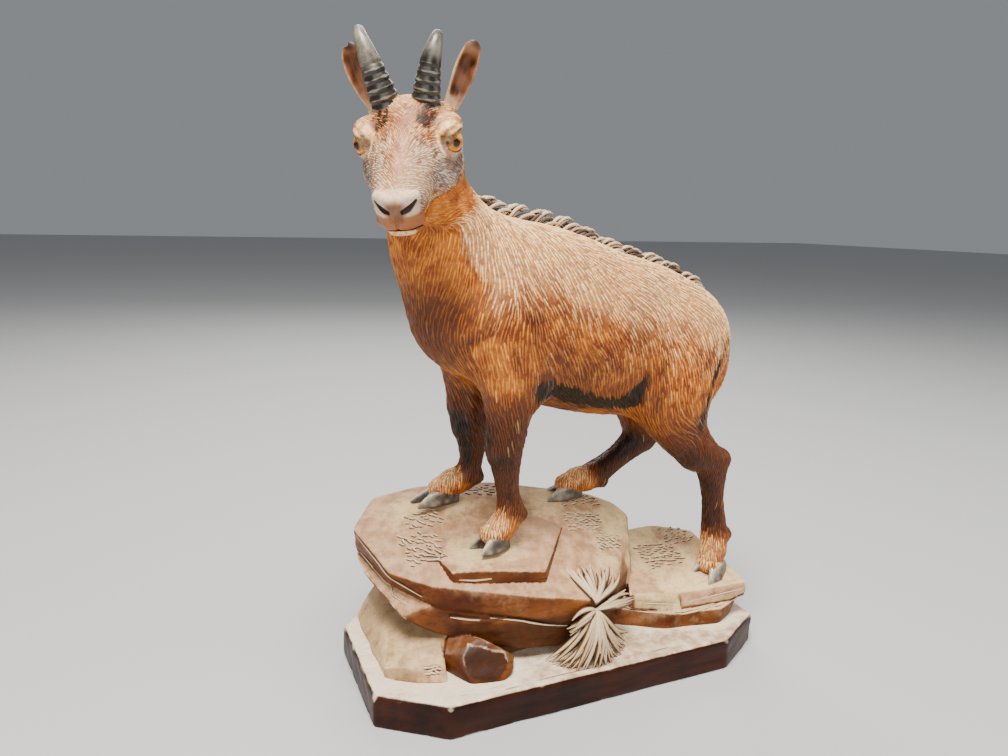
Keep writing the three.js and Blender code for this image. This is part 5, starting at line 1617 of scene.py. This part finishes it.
def build_rocks():
    points, faces = surface(rock_distance, [-90, -45, TOP - 3], [92, 46, 74], ROCK_CELL)
    points, normals = settle(rock_distance, points, 2)
    x, y, z = points.T
    crack = np.zeros(len(points))
    for path, half, depth, _ in CRACKS:
        near = within(points, path, 4)
        gap = path_distance(points[near], path) + (value_noise(points[near], 2.5, 5) - 0.5) * 0.4
        crack[near] = np.maximum(crack[near], depth * smooth(gap, half * 1.4, half * 0.4))
    top = smooth(normals[:, 2], 0.5, 0.8)
    tooling = (value_noise(points * [0.3, 0.3, 1], 3.4, 8) - 0.5) * 0.7
    tooling = tooling + (value_noise(points, 1.8, 9) - 0.5) * 0.12
    tooling *= 1 - 0.5 * top
    tooling += (value_noise(points * [0.25, 0.8, 0.25], 3, 10) - 0.5) * 0.35 * top
    moved = points + normals * (tooling - crack)[:, None]
    edge = convexity(points, faces, normals) * (0.25 + 0.75 * smooth(normals[:, 2], -0.3, 0.4))
    # Painted shade under the overhangs, on the beds below the upper layer, on the boulder's front face, and
    # in the cracks.
    under = smooth(z, 42, 30) * smooth(normals[:, 2], 0.15, -0.35) * (1 - smooth(x, 28, 34))
    bed = smooth(z + (value_noise(points, 7, 14) - 0.5) * 5, 38, 28) * smooth(normals[:, 2], 0.5, 0.1)
    bed *= smooth(x, 28, 22) * (1 - near_any(points, [[-80, -10, 22], [-74, -26, 16]], 24))
    depth, off = inside_face(points, BOULDER_FACE)
    ragged = depth + (value_noise(points, 1.6, 16) - 0.5) * 0.9
    facet = smooth(ragged, -0.1, 0.25) * smooth(off, 4, 3)
    rim = smooth(np.abs(ragged + 0.5), 0.9, 0.3) * smooth(off, 4, 3) * smooth(z, 17.5, 20)
    shade = np.maximum(np.maximum(under, 0.7 * bed), np.maximum(0.85 * facet, 0.8 * smooth(crack, 0.3, 0.7)))
    # Painted shade on the boulder's sides, more on those turned to the left.
    boulder = smooth(np.abs(hull_distance(points, ROCK_PLANES["boulder"], 0.35)), 0.9, 0.4)
    leftward = smooth(-normals[:, 0], 0.1, 0.6)
    shade = np.maximum(shade, (0.45 + 0.35 * leftward) * boulder * smooth(normals[:, 2], 1.0, 0.75))
    edge = np.maximum(edge, rim * (0.35 + 0.6 * value_noise(points, 2.5, 17)))
    feet = [[*leg["foot"][k], leg["foot"][2]] for leg in LEGS.values() for k in (0, 1)]
    dust = 0.12 * top + 0.75 * near_any(points, feet, 22) * top
    dust = np.maximum(dust, 0.75 * smooth(x, 4, 22) * top * smooth(z, 30, 40))
    dust = np.maximum(dust, 0.8 * smooth(x, 30, 50) * top)
    low_left = smooth(x, -52, -62) * smooth(z, 32, 24)
    dust = np.maximum(dust * (0.65 + 0.5 * value_noise(points, 12, 4)), 0.55 * low_left)
    # Painted shade on the low rock: on its faces turned to the front and left, on its upper slope, and along
    # its foot where it meets the plinth.
    wall = smooth(-0.7 * normals[:, 0] - 0.6 * normals[:, 1] - 0.6 * normals[:, 2], 0.05, 0.4)
    low_shade = low_left * np.maximum(0.46 * wall * smooth(x, -70, -74), 0.46 * smooth(z, 19.5, 24))
    low_shade = np.maximum(low_shade, 0.7 * low_left * smooth(z, 14.4, 13.8))
    # A pale painted highlight along the ridge of the low rock's front, through the edge mask.
    ridge = settle(rock_distance, np.array(LOW_RIDGE, float), 6)[0]
    on_ridge = smooth(path_distance(points, ridge), 1.2, 0.2)
    edge = np.maximum(edge, 0.8 * value_noise(points, 4, 18) * on_ridge)
    # Painted shade on the right and back part of the small slab's top.
    slab = smooth(np.abs(hull_distance(points, ROCK_PLANES["small_slab"], 0.35)), 0.9, 0.4)
    shade = np.maximum(shade, 0.46 * slab * top * smooth(x + y, -26, -6))
    block = smooth(x, 30, 33) * smooth(x, 53, 51) * smooth(z, 20.5, 21.5) * smooth(-normals[:, 1], 0.4, 0.7)
    dust = np.maximum(dust, 0.7 * block)
    hatched = np.zeros(len(points))
    for middle, reach, _, _ in STROKE_PATCHES:
        far = ((x - middle[0]) / reach[0]) ** 2 + ((y - middle[1]) / reach[1]) ** 2
        hatched = np.maximum(hatched, smooth(far, 2, 0.7) * (np.abs(z - middle[2]) < 9))
    dust = dust * (1 - 0.35 * hatched) * (1 - 0.9 * boulder)
    # Paler on the boulder's faces turned to the right: partly dust, partly painted light.
    dust = np.maximum(dust, 0.4 * boulder * smooth(normals[:, 0], -0.2, 0.5) * (1 - facet))
    plank = smooth(x, 52, 54) * smooth(z, 22, 23) * smooth(-normals[:, 1], 0.3, 0.6)
    # Painted shade and dust on the front of the ledge's low bed.
    low_bed = smooth(x, 30, 34) * smooth(z, 21, 20) * smooth(-normals[:, 1], 0.3, 0.6)
    dust = np.maximum(dust, 0.3 * low_bed)
    shade = np.maximum(shade, 0.42 * low_bed)
    # Paler tops and a few paler faces: partly rubbing and partly painted light from above.
    rubbed_and_lit = 0.12 + 0.8 * top + 0.25 * smooth(normals[:, 2], -0.2, 0.5)
    rubbed_and_lit = rubbed_and_lit + 0.4 * low_left + 0.3 * block + 0.5 * plank
    rubbed_and_lit = rubbed_and_lit * (1 - 0.2 * hatched) * (1 - 0.75 * boulder)
    shade = np.maximum(shade * (1 - 0.8 * low_left), low_shade)
    masks = {"rubbed_and_lit": rubbed_and_lit, "edge": edge, "dust": dust, "shade": shade}
    # The top colours are paler than the side colours partly as painted light.
    material = rock_material("rock stain", ("4A1E06", "7A4418", "2C1002"), ("A27A56", "CCA27C"),
                             ("C8A468", "F6DEAC"))
    new_piece("rocks", thinned(new_mesh("rocks", moved, faces, clipped(masks))), material)


def convexity(points, faces, normals):
    """How far each point stands out from its neighbours: one on worn outer edges."""
    value = np.zeros(len(points))
    count = np.zeros(len(points))
    centre = points[faces].mean(1)
    for k in range(4):
        v = faces[:, k]
        gap = ((points[v] - centre) * normals[v]).sum(1)
        value += np.bincount(v, gap, len(points))
        count += np.bincount(v, minlength=len(points))
    value /= np.maximum(count, 1)
    for _ in range(2):
        middle = value[faces].mean(1)
        total = np.zeros(len(points))
        for k in range(4):
            total += np.bincount(faces[:, k], middle, len(points))
        value = np.maximum(value * 0.7, total / np.maximum(count, 1))
    return smooth(value, 0.02, 0.09)


def plinth_outline(inset):
    length, width = PLINTH_LENGTH / 2, PLINTH_WIDTH / 2
    outline = []
    for n, (along_x, along_y) in enumerate(PLINTH_CORNERS):
        sign_x = -1 if n in (0, 3) else 1
        sign_y = -1 if n < 2 else 1
        side = [sign_x * (length - inset), sign_y * (width - along_y - inset * 0.5)]
        end = [sign_x * (length - along_x - inset * 0.5), sign_y * (width - inset)]
        outline += [side, end] if n % 2 == 0 else [end, side]
    return outline


PLINTH = ([[x, y, 0] for x, y in plinth_outline(0)]
          + [[x, y, PLINTH_HEIGHT - PLINTH_EDGE] for x, y in plinth_outline(0)]
          + [[x, y, PLINTH_HEIGHT] for x, y in plinth_outline(PLINTH_EDGE)])
PLINTH_PLANES = planes_of(PLINTH)


def plinth_distance(points):
    return hull_distance(points, PLINTH_PLANES, 0.3)


def build_plinth():
    points, faces = surface(plinth_distance, [-92, -51, -2], [92, 51, 16], PLINTH_CELL)
    points, normals = settle(plinth_distance, points, 2)
    x, _, z = points.T
    top = smooth(normals[:, 2], 0.6, 0.9)
    under = smooth(normals[:, 2], -0.6, -0.9)
    groove = np.zeros(len(points))
    for path, half, depth, _ in CRACKS[-2:]:
        near = within(points, path, 4)
        groove[near] = np.maximum(groove[near], depth * smooth(path_distance(points[near], path), half, 0.1))
    tooling = (value_noise(points * [0.25, 0.6, 1], 4, 11) - 0.5) * 0.6 * (1 - under)
    edge = convexity(points, faces, normals)
    wear = smooth(value_noise(points, 5, 12), 0.6, 0.85) * edge
    moved = points + normals * (tooling - groove - 0.5 * wear)[:, None]
    moved[:, 2] = np.maximum(moved[:, 2], 0)
    hidden = rock_distance(points)
    # More dust near the rocks, and towards the left end of the top a pale painted glare.
    spread = 0.4 + 0.4 * smooth(hidden, 7, 0.5) + 0.45 * smooth(x, -15, -45)
    dust = top * spread * (0.7 + 0.5 * value_noise(points, 14, 13))
    worn = edge * smooth(z, 8, 12) * (0.6 + 0.5 * value_noise(points, 9, 15))
    # Painted shade underneath and in the grooves along the top.
    shade = 0.5 * under + smooth(groove, 0.1, 0.5)
    # A paler top than sides: partly rubbing, partly painted light.
    masks = {"rubbed_and_lit": top + 0.05, "edge": worn, "dust": dust, "shade": shade}
    # The pale dust colours also serve for the painted glare on the top.
    material = rock_material("plinth stain", ("200A02", "3C1707", "120500"), ("A88868", "DCC4A6"),
                             ("DCC4A0", "FFF0DA"))
    new_piece("plinth", thinned(new_mesh("plinth", moved, faces, clipped(masks))), material)


def build_hooves(coat):
    """Cloven hooves, and the fringe of hair that hangs over each."""
    points, faces = surface(hoof_distance, [-64, -32, 24], [92, 26, 84], HOOF_CELL)
    points, normals = settle(hoof_distance, points, 2)
    # Painted highlight on the faces turned up and forward, through the pale mask; the sharpest edges also
    # take the painted edge highlight through the groove mask.
    tilt = normals[:, 2] - 0.3 * normals[:, 0] + 0.4 * (value_noise(points, 2.2, 3) - 0.5)
    shine = smooth(tilt, -0.05, 0.8)
    masks = {"groove": 0.5 - 0.5 * convexity(points, faces, normals), "pale": 0.95 * shine}
    mesh = new_mesh("hooves", points, faces, masks)
    new_piece("hooves", mesh, horn_material("grey hoof stain", "140E08", "4A3A28", "94866E", "E6DAC4"))
    lines, outs = [], []
    for leg in LEGS.values():
        heel, toe, sole, size = leg["foot"]
        forward = unit(np.array([toe[0] - heel[0], toe[1] - heel[1], 0.0]))
        side = np.array([-forward[1], forward[0], 0])
        centre = np.array([*heel, sole]) + forward * 2.2 * size
        for k in range(26):
            angle = math.tau * k / 26
            out = forward * math.cos(angle) + side * math.sin(angle)
            reach = 4.6 + 1.2 * math.cos(angle)
            low = 2.2 + 1.6 * (1 + math.cos(angle)) + chance.uniform(-0.5, 0.5)
            start = centre + out * (reach - 1.6) * size + [0, 0, 8.2 * size]
            middle = centre + out * (reach + 0.1) * size + [0, 0, (8.2 + low) / 2 * size]
            end = centre + out * (reach + 0.7) * size + [0, 0, low * size]
            lines.append([start, (start + middle) / 2 + out * 0.5, middle, end])
            outs.append(np.broadcast_to(unit(out + [0, 0, 0.4]), (4, 3)))
    lines, outs = np.array(lines), np.array(outs)
    masks = {key: value * np.ones(len(lines)) for key, value in
             (("pale", 0.4), ("orange", 1.0), ("dark", 0.0))}
    masks["pale"] += chance.uniform(-0.3, 0.5, len(lines))
    sweep_strands("hoof_fringe", lines, outs, np.array([0.7, 1, 0.9, 0.15]), 0.85, 1.5, coat, masks)


def build_eyes():
    iris_dark, iris_light = colour("8E4A12"), colour("F4A83C")
    for name, hand in (("left_glass_eye", 1), ("right_glass_eye", -1)):
        mirror = np.array([1, hand, 1])
        gaze = unit(np.array([0.8, 0.6, 0.1])) * mirror
        centre = from_head(EYE * mirror)
        axis = Vector(unit(gaze @ HEAD_AXES))
        turn = Vector((0, 0, 1)).rotation_difference(axis).to_matrix().to_4x4()
        mesh = bpy.data.meshes.new(name + "_ball")
        work = bmesh.new()
        bmesh.ops.create_uvsphere(work, u_segments=64, v_segments=40, radius=EYE_RADIUS * MM)
        work.to_mesh(mesh)
        work.free()
        flat = points_of(mesh)
        cosine = flat[:, 2] / EYE_RADIUS
        angle = np.degrees(np.arccos(np.clip(cosine, -1, 1)))
        layer = mesh.attributes.new("from_pupil", "FLOAT", "POINT")
        layer.data.foreach_set("value", angle.astype(np.float32))
        mesh.transform(Matrix.Translation(Vector(centre) * MM) @ turn)
        mesh.shade_smooth()
        material, n, shader = new_material("amber glass " + name.split("_")[0], 0.08, 0.25, 0.3)
        shader.inputs["Coat Roughness"].default_value = 0.02
        from_pupil, = n.attributes("from_pupil")
        streak = n.noise(n.place(), 1500, 2, 0.6)
        iris = n.mix(n.fit(n.plus(from_pupil, n.times(streak, 16)), 22, 52), iris_dark, iris_light)
        rim = n.mix(n.fit(from_pupil, 60, 78), iris, colour("3A1A06"))
        n.feed(shader.inputs["Base Color"], n.mix(n.fit(from_pupil, 17, 21), colour("2C1508"), rim))
        new_piece(name + "_dressed", mesh, material, name)


def build_stage():
    floor = bpy.data.meshes.new("floor")
    size = 6.0
    corners = [(-size, -size, 0), (size, -size, 0), (size, size, 0), (-size, size, 0)]
    floor.from_pydata(corners, [], [(0, 1, 2, 3)])
    ground = bpy.data.objects.new("floor", floor)
    bpy.context.scene.collection.objects.link(ground)
    material = bpy.data.materials.new("pale floor")
    material.use_nodes = True
    shader = material.node_tree.nodes["Principled BSDF"]
    shader.inputs["Base Color"].default_value = (0.48, 0.48, 0.48, 1)
    shader.inputs["Roughness"].default_value = 0.7
    floor.materials.append(material)
    world = bpy.data.worlds.new("studio")
    bpy.context.scene.world = world
    world.use_nodes = True
    world.node_tree.nodes["Background"].inputs["Color"].default_value = (0.86, 0.9, 0.95, 1)
    world.node_tree.nodes["Background"].inputs["Strength"].default_value = 0.28


def add_light(name, place, aim, size, power, tint):
    light = bpy.data.lights.new(name, "AREA")
    light.shape = "SQUARE"
    light.size = size
    light.energy = power
    light.color = tint
    lamp = bpy.data.objects.new(name, light)
    bpy.context.scene.collection.objects.link(lamp)
    lamp.location = place
    lamp.rotation_euler = (Vector(aim) - Vector(place)).to_track_quat("-Z", "Y").to_euler()


def add_camera():
    data = bpy.data.cameras.new("camera")
    data.sensor_width = 36
    data.lens = 27.14
    data.clip_start = 0.01
    camera = bpy.data.objects.new("camera", data)
    bpy.context.scene.collection.objects.link(camera)
    right = Vector((0.9173, -0.3975, 0.0233))
    up = Vector((0.0612, 0.1986, 0.9782))
    forward = Vector((0.3935, 0.8958, -0.2065))
    turn = Matrix((right, up, -forward)).transposed().to_4x4()
    camera.matrix_world = Matrix.Translation(Vector((-0.151, -0.2867, 0.1931))) @ turn
    bpy.context.scene.camera = camera


build_stage()
STRANDS = swept_strands_tree()
build_animal()
build_crest()
build_horns()
build_ears(bpy.data.materials["stained hair with painted shade"])
build_hooves(bpy.data.materials["stained hair with painted shade"])
build_rocks()
build_plinth()
build_tuft()
build_stubble(bpy.data.materials["dry grass stain"])
build_edges(bpy.data.materials["dry grass stain"])
build_eyes()
add_light("overhead", (-0.2, -0.25, 1.1), (0, 0, 0.12), 0.5, 28.5, (1, 0.97, 0.92))
add_light("front", (-0.5, -0.9, 0.45), (0, 0, 0.13), 0.7, 5, (1, 0.98, 0.95))
add_light("right", (0.8, -0.4, 0.5), (0, 0, 0.12), 0.6, 2.5, (0.95, 0.97, 1))
add_light("back", (0.2, 0.8, 0.8), (0, 0, 0.16), 0.6, 7, (1, 0.98, 0.95))
add_camera()
